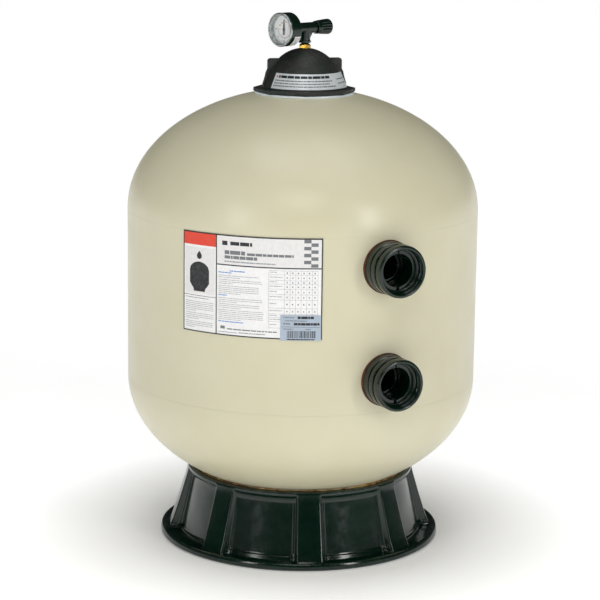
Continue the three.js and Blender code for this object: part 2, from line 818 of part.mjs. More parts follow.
// Pieces on the valve's level axis are turned about Z with their distance from the closure's axis as z,
// positive on the gauge's side, and then laid along the way that the gauge faces. Their own +Y points up.
function levelAxis() {
  const group = new THREE.Group();
  const [x, y] = heading(VALVE.azimuth);
  const up = new THREE.Vector3(0, 0, 1);
  const along = new THREE.Vector3(x, y, 0);
  const across = new THREE.Vector3().crossVectors(up, along);
  group.quaternion.setFromRotationMatrix(new THREE.Matrix4().makeBasis(across, up, along));
  group.position.z = VALVE.axisZ;
  assembly.add(group);
  return group;
}

function addValveBody(group) {
  const { barrelRadius, gaugeEnd, knobEnd, footRadius, footBottom, axisZ } = VALVE;
  const foot = (radius, low, high) => rod(radius, low, high, 14).rotateX(-QUARTER_TURN);
  const drop = footBottom - axisZ;
  const web = [
    [-footRadius + 1, drop],
    [-footRadius + 1, drop + 4],
    [knobEnd + 2, -4],
    [knobEnd + 2, 3],
    [0, 3],
    [0, drop],
  ];
  const webPlate = prism(web, -2.2, 2.2).rotateY(-QUARTER_TURN);
  const body = join(
    rod(barrelRadius, knobEnd, gaugeEnd, 14),
    rod(barrelRadius + 1.6, gaugeEnd - 9, gaugeEnd, 14),
    foot(footRadius, drop, 0),
    webPlate,
  );
  const bored = cut(
    body,
    rod(6.4, 12, gaugeEnd + 5, 12),
    rod(2.6, -2, 14, 8),
    rod(5.2, knobEnd - 5, -1, 12),
    foot(5.5, drop - 5, drop + 9),
    foot(2.6, drop + 5, 2),
  );
  add("relief_valve_body", bored, MATERIAL.glossBlack, group);
}

function addReliefKnob(group) {
  const { inner, outer, radius, ribs } = KNOB;
  const stemRadius = 4.7;
  const stem = [
    [0, -52],
    [stemRadius, -52],
    [stemRadius, -17],
    [3.2, -17],
    [3.2, -14],
    [stemRadius, -14],
    [stemRadius, -6],
    [1.5, -2],
    [0, -2],
  ];
  add("relief_stem", revolve(stem, 12), MATERIAL.glossBlack, group);
  add("relief_stem_o_ring", ring(3.5, 4.85, -16.7, -14.3, 12), MATERIAL.rubber, group);
  const profile = Array.from({ length: 2 * ribs }, (_, i) => {
    const angle = (i * Math.PI) / ribs;
    const reach = i % 2 ? radius : radius - 1.4;
    return [reach * Math.cos(angle), reach * Math.sin(angle)];
  });
  const stemHole = rod(stemRadius + GAP, -52 - GAP, -10, 12);
  const grip = prism(profile, outer, inner);
  add("relief_knob", cut(grip, stemHole), MATERIAL.glossBlack, group);
}

function addGauge(group) {
  const { back, front, caseRadius, caseBore, dialBack, sides } = GAUGE;
  // The socket carries the bridge that the movement turns in.
  const socket = cut(
    join(
      rod(6, 15, 30.5, 12),
      prism(polygon(8.6, 6), 30.4, back - GAP),
      rod(5, back - 1, back + 6.4, 12),
      prism([[-6, -13], [6, -13], [6, 4], [-6, 4]], back + 6, back + 7.5),
    ),
    rod(1.9, 10, back + 4, 8),
    rod(1.5, back + 2, back + 12, 8),
    rod(1.1, back, back + 12, 8).translate(0, -10, 0),
  );
  add("gauge_socket", socket, MATERIAL.brass, group);
  const shell = [
    [5.3, back],
    [caseRadius - 2, back],
    [caseRadius, back + 2],
    [caseRadius, front - 3.4],
    [caseBore, front - 3.4],
    [caseBore, back + 2.5],
    [5.3, back + 2.5],
  ];
  add("gauge_case", revolve(shell, sides), MATERIAL.glossBlack, group);
  const skirtInner = caseBore - 2.1;
  const bezel = [
    [skirtInner, dialBack + 1.5],
    [caseBore - GAP, dialBack + 1.5],
    [caseBore - GAP, front - 3.1],
    [caseRadius + GAP, front - 3.1],
    [caseRadius + GAP, front - 0.5],
    [caseRadius - 1.2, front + 0.5],
    [skirtInner + 1, front + 0.5],
    [skirtInner + 1, front - 1.4],
    [skirtInner, front - 1.4],
  ];
  add("gauge_bezel", revolve(bezel, sides), MATERIAL.bezel, group);
  add("gauge_lens", rod(skirtInner + 1 - GAP, front - 1.1, front, sides), MATERIAL.glass, group);
  const dial = ring(1.9, caseBore - 0.5, dialBack, dialBack + 1.2, sides);
  add("gauge_dial", dial, MATERIAL.labelWhite, group);

  const needlePlane = dialBack + 2.2;
  const pointer = [[-1.6, -9], [1.6, -9], [1.2, 0], [0.35, 19], [-0.35, 19], [-1.2, 0]];
  const needle = join(
    prism(pointer, needlePlane, needlePlane + 0.8),
    rod(2.6, needlePlane - 0.4, needlePlane + 1.4, 10),
    rod(1.2, back + 4.6, needlePlane + 1, 8),
  );
  add("gauge_needle", needle, MATERIAL.glossBlack, group);

  // The toothed sector behind the dial turns the pinion, and the curved tube moves the sector.
  const teethRadius = 8.4;
  const teeth = [-3, 8, 19, 30, 42].map((angle) => heading(180 - angle).map((part) => part * teethRadius));
  const arm = [[1.6, 0], [1.4, -5], [-1.4, -5], [-1.6, 0]];
  const sectorPlate = prism([...arm, ...teeth], back + 7.8, back + 8.8);
  const pivot = rod(0.8, back + 6.6, back + 9, 8);
  add("gauge_sector", join(sectorPlate, pivot), MATERIAL.brass, group).position.y = -10;
  const tube = prism(arcBand(15.2, 18.6, -55, 215, 12), back + 4, back + 10);
  add("bourdon_tube", tube, MATERIAL.brass, group);
}

// The outline of a band of a circle, from one angle to another in degrees anticlockwise from +X.
function arcBand(inner, outer, from, to, steps) {
  const arc = (radius, start, end) =>
    Array.from({ length: steps + 1 }, (_, i) => {
      const angle = radians(start + ((end - start) * i) / steps);
      return [radius * Math.cos(angle), radius * Math.sin(angle)];
    });
  return [...arc(outer, from, to), ...arc(inner, to, from)];
}

addTank();
addLabels();
addFoot();
addPort("upper", PORT.upperZ);
addPort("lower", PORT.lowerZ);
addInletPipework();
addOutletPipework();
addAirTube();
addDrain();
addNeck();
addClosure();
const valveAxis = levelAxis();
addValveBody(valveAxis);
addReliefKnob(valveAxis);
addGauge(valveAxis);

export default root;
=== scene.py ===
# Looks of the sand filter tank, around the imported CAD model. Metres, with lengths below named in millimetres.
# Turned pieces are made about their own axis and then put in place by a matrix worked out from the frame.

import json
import math

import bmesh
import bpy
import numpy as np
from mathutils import Matrix, Vector, noise


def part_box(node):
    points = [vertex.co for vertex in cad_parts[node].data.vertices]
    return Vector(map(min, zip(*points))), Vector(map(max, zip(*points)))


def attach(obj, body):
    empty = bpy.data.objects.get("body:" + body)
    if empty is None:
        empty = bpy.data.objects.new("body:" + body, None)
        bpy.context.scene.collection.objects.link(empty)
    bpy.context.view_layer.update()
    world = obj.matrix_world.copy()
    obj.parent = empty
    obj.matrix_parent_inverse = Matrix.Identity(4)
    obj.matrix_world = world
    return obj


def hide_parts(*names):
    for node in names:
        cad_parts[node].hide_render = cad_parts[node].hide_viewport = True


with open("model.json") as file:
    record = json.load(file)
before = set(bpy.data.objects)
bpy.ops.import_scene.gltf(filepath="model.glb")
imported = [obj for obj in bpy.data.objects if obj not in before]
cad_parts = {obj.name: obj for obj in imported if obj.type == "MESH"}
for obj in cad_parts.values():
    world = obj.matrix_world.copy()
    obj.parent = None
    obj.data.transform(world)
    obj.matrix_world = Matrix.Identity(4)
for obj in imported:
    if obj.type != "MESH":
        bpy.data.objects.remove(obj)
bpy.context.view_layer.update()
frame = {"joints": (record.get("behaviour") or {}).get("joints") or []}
MM = 0.001
TURN = 2 * math.pi


# ------------------------------------------------------------------ places, from the frame

def middle(node):
    low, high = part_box(node)
    return (low + high) / 2


def joint(name):
    return next(j for j in frame["joints"] if j["name"] == name)


AXIS_Y = middle("tank_barrel").y
TANK_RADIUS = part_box("tank_barrel")[1].x
SEAM_LOW, SEAM_HIGH = (corner.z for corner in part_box("tank_barrel"))
TANK = Matrix.Translation((0, AXIS_Y, 0))


def outward(z, towards_ports=True):
    """A turning axis that leaves the tank's axis level at height z, towards the ports or away from them."""
    return Matrix.Translation((0, AXIS_Y, z)) @ Matrix.Rotation(math.radians(90 if towards_ports else -90),
                                                                4, "X")


PORTS = {side: outward(middle(side + "_port_collar").z) for side in ("upper", "lower")}
DRAIN = outward(middle("drain_pipe").z, towards_ports=False)
GAUGE_WAY = -Vector(joint("relief_knob_turn")["axis"]).normalized()
UP = Vector((0, 0, 1))
VALVE = Matrix.Translation((0, AXIS_Y, joint("relief_knob_turn")["pos_m"][2])) @ Matrix(
    (UP.cross(GAUGE_WAY), UP, GAUGE_WAY)
).transposed().to_4x4()
CLOSURE_CORNER = -24.4  # azimuth of one corner of the closure's flange, from the ports towards +X, in degrees
LUG_AZIMUTH = -104.0


def heading(azimuth):
    """The level direction at an azimuth in degrees, from the ports' side towards +X."""
    return Vector((math.sin(math.radians(azimuth)), -math.cos(math.radians(azimuth)), 0))


# ------------------------------------------------------------------ materials

def linear(hex_colour):
    """A colour written as in a stylesheet, as linear RGBA."""
    parts = [int(hex_colour[i:i + 2], 16) / 255 for i in (1, 3, 5)]
    return tuple(p / 12.92 if p <= 0.04045 else ((p + 0.055) / 1.055) ** 2.4 for p in parts) + (1.0,)


class Surface:
    """A material under construction: a Principled shader with a few helpers for what feeds it."""

    def __init__(self, name, roughness=0.5, metallic=0.0, **sockets):
        self.material = bpy.data.materials.new(name)
        self.material.use_nodes = True
        self.tree = self.material.node_tree
        self.shader = self.tree.nodes["Principled BSDF"]
        self.shader.inputs["Roughness"].default_value = roughness
        self.shader.inputs["Metallic"].default_value = metallic
        for socket, value in sockets.items():
            self.shader.inputs[socket.replace("_", " ")].default_value = value
        self.place = self.tree.nodes.new("ShaderNodeTexCoord").outputs["Object"]
        self.height = None

    def node(self, kind, **settings):
        made = self.tree.nodes.new(kind)
        for setting, value in settings.items():
            setattr(made, setting, value)
        return made

    def stretched(self, x, y, z):
        """Object coordinates scaled by these factors, for a pattern longer one way than another."""
        mapping = self.node("ShaderNodeMapping")
        mapping.inputs["Scale"].default_value = (x, y, z)
        self.tree.links.new(self.place, mapping.inputs["Vector"])
        return mapping.outputs["Vector"]

    def noise(self, size_mm, detail=4.0, roughness=0.55, coordinates=None):
        """Noise whose features are about size_mm across, from 0 to 1."""
        made = self.node("ShaderNodeTexNoise")
        made.inputs["Scale"].default_value = 1 / (size_mm * MM)
        made.inputs["Detail"].default_value = detail
        made.inputs["Roughness"].default_value = roughness
        self.tree.links.new(coordinates or self.place, made.inputs["Vector"])
        return made.outputs["Fac"]

    def spread(self, value, low, high, to_low=0.0, to_high=1.0):
        """A value from low to high, mapped to another range and clamped."""
        made = self.node("ShaderNodeMapRange")
        for socket, number in zip(("From Min", "From Max", "To Min", "To Max"),
                                  (low, high, to_low, to_high)):
            made.inputs[socket].default_value = number
        self.tree.links.new(value, made.inputs["Value"])
        return made.outputs["Result"]

    def mixed(self, share, first, second):
        """A blend of two colours, each a hex string or a socket."""
        made = self.node("ShaderNodeMix", data_type="RGBA")
        self.tree.links.new(share, made.inputs["Factor"])
        for socket, colour in ((made.inputs[6], first), (made.inputs[7], second)):
            if isinstance(colour, str):
                socket.default_value = linear(colour)
            else:
                self.tree.links.new(colour, socket)
        return made.outputs[2]

    def colour(self, value):
        if isinstance(value, str):
            self.shader.inputs["Base Color"].default_value = linear(value)
        else:
            self.tree.links.new(value, self.shader.inputs["Base Color"])
        return self

    def roughness(self, value):
        self.tree.links.new(value, self.shader.inputs["Roughness"])
        return self

    def bump(self, value, height_mm):
        """Raises the surface by value times height_mm. A later call adds to an earlier one."""
        made = self.node("ShaderNodeBump")
        made.inputs["Strength"].default_value = 1.0
        made.inputs["Distance"].default_value = height_mm * MM
        self.tree.links.new(value, made.inputs["Height"])
        if self.height:
            self.tree.links.new(self.height, made.inputs["Normal"])
        self.height = made.outputs["Normal"]
        self.tree.links.new(self.height, self.shader.inputs["Normal"])
        return self

    def wear(self, size_mm, low, high):
        """A mask that is 1 on exposed edges, broken up by noise."""
        geometry = self.node("ShaderNodeNewGeometry")
        edges = self.spread(geometry.outputs["Pointiness"], low, high)
        patches = self.spread(self.noise(size_mm, 6), 0.45, 0.6)
        made = self.node("ShaderNodeMath", operation="MULTIPLY")
        self.tree.links.new(edges, made.inputs[0])
        self.tree.links.new(patches, made.inputs[1])
        return made.outputs["Value"]


def almond_gelcoat():
    """Painted, filament-wound glass fibre: orange peel on faint winding waves, with a little dust."""
    s = Surface("almond_gelcoat", roughness=0.33, Specular_IOR_Level=0.42, Coat_Weight=0.12,
                Coat_Roughness=0.22)
    cloud = s.spread(s.noise(170, 3), 0.35, 0.65)
    speck = s.spread(s.noise(2.4, 5, 0.7), 0.66, 0.74)
    tone = s.mixed(cloud, "#d7d1b1", "#dbd6b9")
    s.colour(s.mixed(speck, tone, "#cdc7a6"))
    s.roughness(s.spread(s.noise(60, 5), 0.3, 0.7, 0.29, 0.38))
    s.bump(s.noise(90, 2, coordinates=s.stretched(0.35, 0.35, 1.6)), 0.5)
    s.bump(s.noise(4.5, 2, 0.4), 0.055)
    return s.material


def moulded_black(name, low, high, roughness, grain_mm):
    """Glossy moulded plastic in two close tones, flow marks, and edges a little grey: rubbed wear and painted
    highlight.
    """
    s = Surface(name, roughness=roughness, Specular_IOR_Level=0.5)
    flow = s.spread(s.noise(55, 5, coordinates=s.stretched(1, 1, 0.4)), 0.32, 0.68)
    tone = s.mixed(flow, low, high)
    # The grey on the edges is partly rubbed wear and partly a painted highlight along them.
    s.colour(s.mixed(s.wear(6, 0.53, 0.62), tone, "#46514f"))
    s.roughness(s.spread(s.noise(18, 6, 0.65), 0.3, 0.7, roughness - 0.04, roughness + 0.08))
    s.bump(s.noise(grain_mm, 3), 0.02)
    s.bump(s.noise(45, 2), 0.12)
    return s.material


def mottled_closure():
    """Glass-filled plastic: charcoal with rusty and greenish swirls, and a fine dull grain."""
    s = Surface("closure_charcoal", roughness=0.58, Specular_IOR_Level=0.4)
    swirl = s.noise(15, 8, 0.72, s.stretched(1, 1, 1.6))
    tone = s.mixed(s.spread(swirl, 0.38, 0.6), "#17211d", "#2a2924")
    tone = s.mixed(s.spread(s.noise(7, 6, 0.7), 0.52, 0.68), tone, "#3a362f")
    tone = s.mixed(s.spread(s.noise(30, 4), 0.5, 0.66), tone, "#1c2822")
    s.colour(s.mixed(s.wear(5, 0.54, 0.62), tone, "#666b66"))
    s.roughness(s.spread(s.noise(9, 6), 0.3, 0.7, 0.46, 0.66))
    s.bump(s.noise(1.6, 6, 0.6), 0.07)
    s.bump(swirl, 0.12)
    return s.material


def rubber(name, low, high):
    s = Surface(name, roughness=0.75, Specular_IOR_Level=0.3)
    s.colour(s.mixed(s.spread(s.noise(9, 5), 0.35, 0.65), low, high))
    s.roughness(s.spread(s.noise(4, 5), 0.3, 0.7, 0.65, 0.88))
    s.bump(s.noise(0.8, 4), 0.03)
    return s.material


def white_plastic(name, low, high, roughness):
    """Pale moulded or extruded plastic, a little dirty in its grain."""
    s = Surface(name, roughness=roughness, Specular_IOR_Level=0.45)
    tone = s.mixed(s.spread(s.noise(35, 5), 0.35, 0.65), low, high)
    s.colour(s.mixed(s.spread(s.noise(3, 6, 0.7), 0.64, 0.76), tone, "#c9cbc4"))
    s.roughness(s.spread(s.noise(12, 5), 0.3, 0.7, roughness - 0.05, roughness + 0.1))
    s.bump(s.noise(1.2, 4), 0.02)
    return s.material


def metal(name, low, high, roughness, grain_mm, stretch=(1, 1, 1)):
    """Bare metal with tarnish in patches and tool marks that may run one way."""
    s = Surface(name, roughness=roughness, metallic=1.0)
    s.colour(s.mixed(s.spread(s.noise(5, 6, 0.65), 0.4, 0.66), high, low))
    s.roughness(s.spread(s.noise(grain_mm, 5, coordinates=s.stretched(*stretch)), 0.3, 0.7, roughness * 0.7,
                         roughness * 1.5))
    s.bump(s.noise(grain_mm, 4, coordinates=s.stretched(*stretch)), 0.012)
    return s.material


def clear_lens():
    s = Surface("clear_lens", roughness=0.04, Alpha=0.06, IOR=1.47)
    s.colour("#f6fbfa")
    s.roughness(s.spread(s.noise(7, 6, 0.7), 0.55, 0.8, 0.03, 0.12))
    s.bump(s.noise(20, 2), 0.02)
    return s.material


def resin():
    """The line of amber bonding resin that squeezed out between tank and foot."""
    s = Surface("bonding_resin", roughness=0.3, Specular_IOR_Level=0.5, Subsurface_Weight=0.1)
    s.colour(s.mixed(s.spread(s.noise(14, 4), 0.35, 0.65), "#7a4a12", "#d8b67c"))
    s.roughness(s.spread(s.noise(5, 4), 0.3, 0.7, 0.22, 0.5))
    s.bump(s.noise(3, 3), 0.2)
    return s.material


def printed(name, colour, roughness=0.42):
    """One ink or film of a label: nearly even, with a slight mottle and a soft film surface."""
    s = Surface("print_" + name, roughness=roughness, Specular_IOR_Level=0.45)
    s.colour(s.mixed(s.spread(s.noise(6, 5), 0.4, 0.75, 0, 0.12), colour, "#8a8a86"))
    s.roughness(s.spread(s.noise(25, 4), 0.3, 0.7, roughness - 0.06, roughness + 0.08))
    s.bump(s.noise(12, 3), 0.015)
    return s.material


def silver_film(name, colour, metallic):
    s = Surface(name, roughness=0.36, metallic=metallic)
    s.colour(s.mixed(s.spread(s.noise(9, 5), 0.4, 0.7, 0, 0.25), colour, "#a9afb0"))
    s.roughness(s.spread(s.noise(14, 5, coordinates=s.stretched(1, 1, 6)), 0.3, 0.7, 0.28, 0.45))
    s.bump(s.noise(8, 3), 0.02)
    return s.material


MATERIAL = {
    "almond": almond_gelcoat(),
    "foot_black": moulded_black("foot_black", "#021a12", "#042318", 0.15, 1.5),
    "gloss_black": moulded_black("gloss_black", "#04180f", "#082015", 0.17, 0.9),
    "closure_black": mottled_closure(),
    "black_rubber": rubber("black_rubber", "#101010", "#1c1c1b"),
    "red_rubber": rubber("red_rubber", "#4a2a22", "#63382c"),
    "neck_white": white_plastic("neck_white", "#d5dfe4", "#e6eef1", 0.3),
    "white_pvc": white_plastic("white_pvc", "#e2e3de", "#eeefeb", 0.38),
    "brass": metal("brass", "#8d6a22", "#d3ab4c", 0.24, 1.2),
    "bezel_grey": metal("bezel_grey", "#7e8685", "#b9bfbe", 0.3, 1.5, (1, 1, 4)),
    "clear_lens": clear_lens(),
    "resin": resin(),
    "silver_film": silver_film("silver_film", "#dde2e4", 0.2),
    "serial_film": silver_film("serial_film", "#aebccb", 0.15),
}
INK = {
    "white": printed("white", "#f7f6f5"),
    "dial": printed("dial", "#f4f5f6", 0.5),
    "black": printed("black", "#14171a", 0.38),
    "red": printed("red", "#e8432a"),
    "blue": printed("blue", "#3f7fca"),
    "grey": printed("grey", "#74777a"),
    "faint": printed("faint", "#8f9399"),
    "pale": printed("pale", "#eceae8"),
    "tick_red": printed("tick_red", "#d2553f"),
}


# ------------------------------------------------------------------ mesh building

SHARP_ANGLE, BEVEL_ANGLE = math.radians(33), math.radians(35)


def put(name, body, mesh, materials, replaces=(), smooth=True, weighted=True):
    """Makes an object of a mesh in the row frame, riding on a CAD body and standing for CAD nodes."""
    obj = bpy.data.objects.new(name, mesh)
    bpy.context.scene.collection.objects.link(obj)
    if isinstance(materials, list):
        for material in materials:
            mesh.materials.append(material)
    else:
        mesh.materials.clear()
        mesh.materials.append(materials)
    mesh.polygons.foreach_set("use_smooth", [smooth] * len(mesh.polygons))
    if smooth:
        mesh.set_sharp_from_angle(angle=SHARP_ANGLE)
    if smooth and weighted:
        modifier = obj.modifiers.new("weighted_normals", "WEIGHTED_NORMAL")
        modifier.keep_sharp = True
    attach(obj, body)
    if replaces:
        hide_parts(*replaces)
    return obj


def mesh_from(vertices, faces):
    """A mesh with its faces turned to face out."""
    mesh = bpy.data.meshes.new("mesh")
    mesh.from_pydata([tuple(v) for v in vertices], [], faces)
    tidy(mesh)
    return mesh


def tidy(mesh, merge=1e-7):
    bm = bmesh.new()
    bm.from_mesh(mesh)
    bmesh.ops.remove_doubles(bm, verts=bm.verts, dist=merge)
    bmesh.ops.dissolve_degenerate(bm, edges=bm.edges, dist=merge)
    bmesh.ops.recalc_face_normals(bm, faces=bm.faces)
    bm.to_mesh(mesh)
    bm.free()


def rounded(outline, radius, steps=3, closed=True):
    """Rounds the corners of an outline of 2-D points. A third number on a point is its own radius."""
    count = len(outline)
    result = []
    for i, corner in enumerate(outline):
        here = Vector(corner[:2])
        size = corner[2] if len(corner) > 2 else radius
        if not closed and i in (0, count - 1):
            result.append(here)
            continue
        before = Vector(outline[i - 1][:2]) - here
        after = Vector(outline[(i + 1) % count][:2]) - here
        angle = before.angle(after, math.pi)
        if size <= 0 or angle > math.radians(155) or angle < math.radians(8):
            result.append(here)
            continue
        back = min(size / math.tan(angle / 2), 0.45 * before.length, 0.45 * after.length)
        true_radius = back * math.tan(angle / 2)
        start, end = here + before.normalized() * back, here + after.normalized() * back
        inwards = (before.normalized() + after.normalized()).normalized()
        centre = here + inwards * (true_radius / math.sin(angle / 2))
        first = start - centre
        sweep = first.angle_signed(end - centre)
        result += [centre + Matrix.Rotation(-sweep * k / steps, 2) @ first for k in range(steps + 1)]
    return [(p.x, p.y) for p in result]


def turned(outline, segments=96, closed=True, place=Matrix(), radius_at=None):
    """Turns an outline of (radius, height) points, in mm, about the place's Z axis.

    An open outline starts and ends on the axis. radius_at(radius, height, angle) may change a radius."""
    vertices, rows = [], []
    for radius, height in outline:
        if radius < 1e-6:
            rows.append([len(vertices)] * segments)
            vertices.append(place @ Vector((0, 0, height * MM)))
            continue
        rows.append(list(range(len(vertices), len(vertices) + segments)))
        for k in range(segments):
            angle = TURN * k / segments
            reach = radius_at(radius, height, angle) if radius_at else radius
            vertices.append(place @ Vector((reach * math.sin(angle) * MM, -reach * math.cos(angle) * MM,
                                            height * MM)))
    faces = []
    pairs = zip(rows, rows[1:] + rows[:1]) if closed else zip(rows, rows[1:])
    for row, above in pairs:
        for k in range(segments):
            n = (k + 1) % segments
            loop = [row[k], row[n], above[n], above[k]]
            face = [v for i, v in enumerate(loop) if v != loop[i - 1]]
            if len(face) > 2:
                faces.append(face)
    return mesh_from(vertices, faces)


THREAD_TOLERANCE = 0.6


def thread(low, high, pitch, depth, wall):
    """A radius_at for turned(): a helical thread on the points that are close to the wall's radius."""
    def radius_at(radius, height, angle):
        if abs(radius - wall) > THREAD_TOLERANCE or not low < height < high:
            return radius
        turn = ((height - low) / pitch - angle / TURN) % 1
        ridge = min(1, max(0, 1.6 - 4.2 * abs(turn - 0.5)))
        fade = min(1, (height - low) / pitch, (high - height) / pitch)
        return radius + depth * ridge * fade
    return radius_at


def rows_between(radius, start, end, step):
    """Outline points along a straight wall, close enough together to carry a thread."""
    count = max(2, round(abs(end - start) / step))
    return [(radius, start + (end - start) * k / count) for k in range(count + 1)]


def arc(radius, rise, z0, start, end, steps):
    """Points on an ellipse about (0, z0), between two angles in degrees above the horizontal."""
    angles = [math.radians(start + (end - start) * k / steps) for k in range(steps + 1)]
    return [(radius * math.cos(a), z0 + rise * math.sin(a)) for a in angles]


def prism(outline, low, high, place=Matrix(), bevel=0.0, steps=2):
    """An outline of (x, y) points, in mm, raised from low to high along the place's Z and bevelled."""
    count = len(outline)
    vertices = [place @ Vector((x * MM, y * MM, z * MM)) for z in (low, high) for x, y in outline]
    faces = [list(range(count))[::-1], list(range(count, 2 * count))]
    faces += [[i, (i + 1) % count, (i + 1) % count + count, i + count] for i in range(count)]
    mesh = mesh_from(vertices, faces)
    return bevelled(mesh, bevel, steps) if bevel else mesh


def bevelled(mesh, width_mm, steps=2):
    bm = bmesh.new()
    bm.from_mesh(mesh)
    sharp = [e for e in bm.edges if len(e.link_faces) == 2 and e.calc_face_angle(0) > BEVEL_ANGLE]
    bmesh.ops.bevel(bm, geom=sharp, offset=width_mm * MM, segments=steps, profile=0.5, affect="EDGES",
                    clamp_overlap=True)
    bm.to_mesh(mesh)
    bm.free()
    return mesh


def combined(first, others, operation="UNION"):
    """Meshes joined or cut by Blender's exact boolean. The others are used up."""
    target = bpy.data.objects.new("combining", first)
    bpy.context.scene.collection.objects.link(target)
    tools = []
    for mesh in others:
        tool = bpy.data.objects.new("tool", mesh)
        bpy.context.scene.collection.objects.link(tool)
        modifier = target.modifiers.new("boolean", "BOOLEAN")
        modifier.operation, modifier.object, modifier.solver = operation, tool, "EXACT"
        tools.append(tool)
    bpy.context.view_layer.update()
    result = bpy.data.meshes.new_from_object(target.evaluated_get(bpy.context.evaluated_depsgraph_get()))
    for obj in [target, *tools]:
        bpy.data.objects.remove(obj)
    tidy(result, 2e-6)
    return result


def join_meshes(meshes):
    """Several separate closed meshes as one, keeping each one's material indices."""
    bm = bmesh.new()
    for mesh in meshes:
        bm.from_mesh(mesh)
    result = bpy.data.meshes.new("joined")
    bm.to_mesh(result)
    bm.free()
    return result


def polygon(radius, sides, turn=0.0):
    return [(radius * math.cos(math.radians(turn) + TURN * k / sides),
             radius * math.sin(math.radians(turn) + TURN * k / sides)) for k in range(sides)]


def rod(radius, low, high, segments=48, place=Matrix(), edge=0.0):
    outline = rounded([(0, low, 0), (radius, low), (radius, high), (0, high, 0)], edge, closed=False)
    return turned(outline, segments, closed=False, place=place)


def lathe(name, body, outline, material, place=TANK, node=None, slot=None, edge=0.4, segments=96,
          closed=True,
          radius_at=None, cuts=()):
    """A turned piece with rounded edges, standing for the CAD node of its name unless another is given."""
    mesh = turned(rounded(outline, edge, closed=closed), segments, closed, place, radius_at)
    if cuts:
        mesh = combined(mesh, list(cuts), "DIFFERENCE")
    nodes = [name] if node is None else node
    return put(name, body, mesh, MATERIAL[material], nodes)


def put_all(name, body, mesh, material):
    return put(name, body, mesh, MATERIAL[material], [name])


# ------------------------------------------------------------------ tank

R, WALL, SEAM_GAP, SEAM_EDGE = 305, 8, 0.15, 0.25
UPPER_SEAM, LOWER_SEAM = 584, 287.5
UPPER_RISE, LOWER_RISE = 207, 203
PORT_Z = {"upper": 532, "lower": 343}


def angle_at(radius, full):
    return math.degrees(math.acos(radius / full))


def dome(node, seam, rise, hole):
    inner_rise = rise - math.copysign(WALL, rise)
    outline = arc(R, rise, seam, 0, angle_at(hole, R), 56)
    outline += arc(R - WALL, inner_rise, seam, angle_at(hole, R - WALL), 0, 40)
    lathe(node, "tank", outline, "almond", edge=SEAM_EDGE, segments=256)


dome("tank_upper_dome", UPPER_SEAM + SEAM_GAP, UPPER_RISE, 76.5)
dome("tank_lower_dome", LOWER_SEAM - SEAM_GAP, -LOWER_RISE, 17)
barrel_low, barrel_high = LOWER_SEAM + SEAM_GAP, UPPER_SEAM - SEAM_GAP
lathe("tank_barrel", "tank",
      [(R - WALL, barrel_low), (R, barrel_low), (R, barrel_high), (R - WALL, barrel_high)], "almond",
      edge=SEAM_EDGE, segments=360, cuts=[rod(34.5, R - 40, R + 30, 96, PORTS[side]) for side in PORTS])


def seam_bond(name, z):
    """The thin line of bond that fills a seam to just under the surface."""
    half, inner, outer = SEAM_GAP - 0.01, R - WALL + 1, R - 0.12
    lathe(name, "tank", [(inner, z - half), (outer, z - half), (outer, z + half), (inner, z + half)],
          "almond",
          node=[], edge=0, segments=256)


seam_bond("seam_bond_upper", UPPER_SEAM)
seam_bond("seam_bond_lower", LOWER_SEAM)

NECK_BORE, NECK_CREST, THREAD_PITCH = 71, 67, 6
lathe("neck_insert", "tank", [
    *rows_between(NECK_BORE, 783, 766, 0.6), (NECK_BORE, 764.5), (91, 764.5), (91, 772.4, 3),
    (75.9, 775.3), (75.9, 783.6), (86.5, 782.6, 1.2), (86.5, 786.3, 1.2), (NECK_BORE, 786.3),
], "neck_white", edge=0.7, segments=144,
      radius_at=thread(765.5, 784, THREAD_PITCH, NECK_CREST - NECK_BORE, NECK_BORE))


def resin_line():
    """Bonding resin squeezed out unevenly along the foot's lip, as a lumpy bead."""
    segments, around = 420, 8
    vertices, faces = [], []
    for k in range(segments):
        angle = TURN * k / segments
        lump = noise.noise(Vector((5 * math.cos(angle), 5 * math.sin(angle), 1)))
        drip = max(0, noise.noise(Vector((2.3 * math.cos(angle), 2.3 * math.sin(angle), 7))) - 0.25)
        size = 1.7 + 1.1 * lump + 4 * drip
        for i in range(around):
            tilt = TURN * i / around
            radius = 185.4 + 0.5 * size + size * math.cos(tilt)
            height = 124.6 + 0.75 * size * math.sin(tilt)
            vertices.append(TANK @ (Vector((radius * math.cos(angle), radius * math.sin(angle),
                                            height)) * MM))
        row, following = k * around, (k + 1) % segments * around
        faces += [[row + i, following + i, following + (i + 1) % around, row + (i + 1) % around]
                  for i in range(around)]
    put("bonding_resin", "tank", mesh_from(vertices, faces), MATERIAL["resin"])


resin_line()


# ------------------------------------------------------------------ foot

# Half of a rib's section: degrees from its middle, and how far it stands out from panel (0) to rib (1).
RIB_SIDE = [(0, 1), (2.5, 1), (4.6, 1), (5.2, 0.985), (5.6, 0.93), (5.85, 0.82), (6.4, 0.34), (6.6, 0.22),
            (6.85, 0.17),
            (7.5, 0.15), (7.75, 0.12), (7.95, 0.04), (8.25, 0.0)]
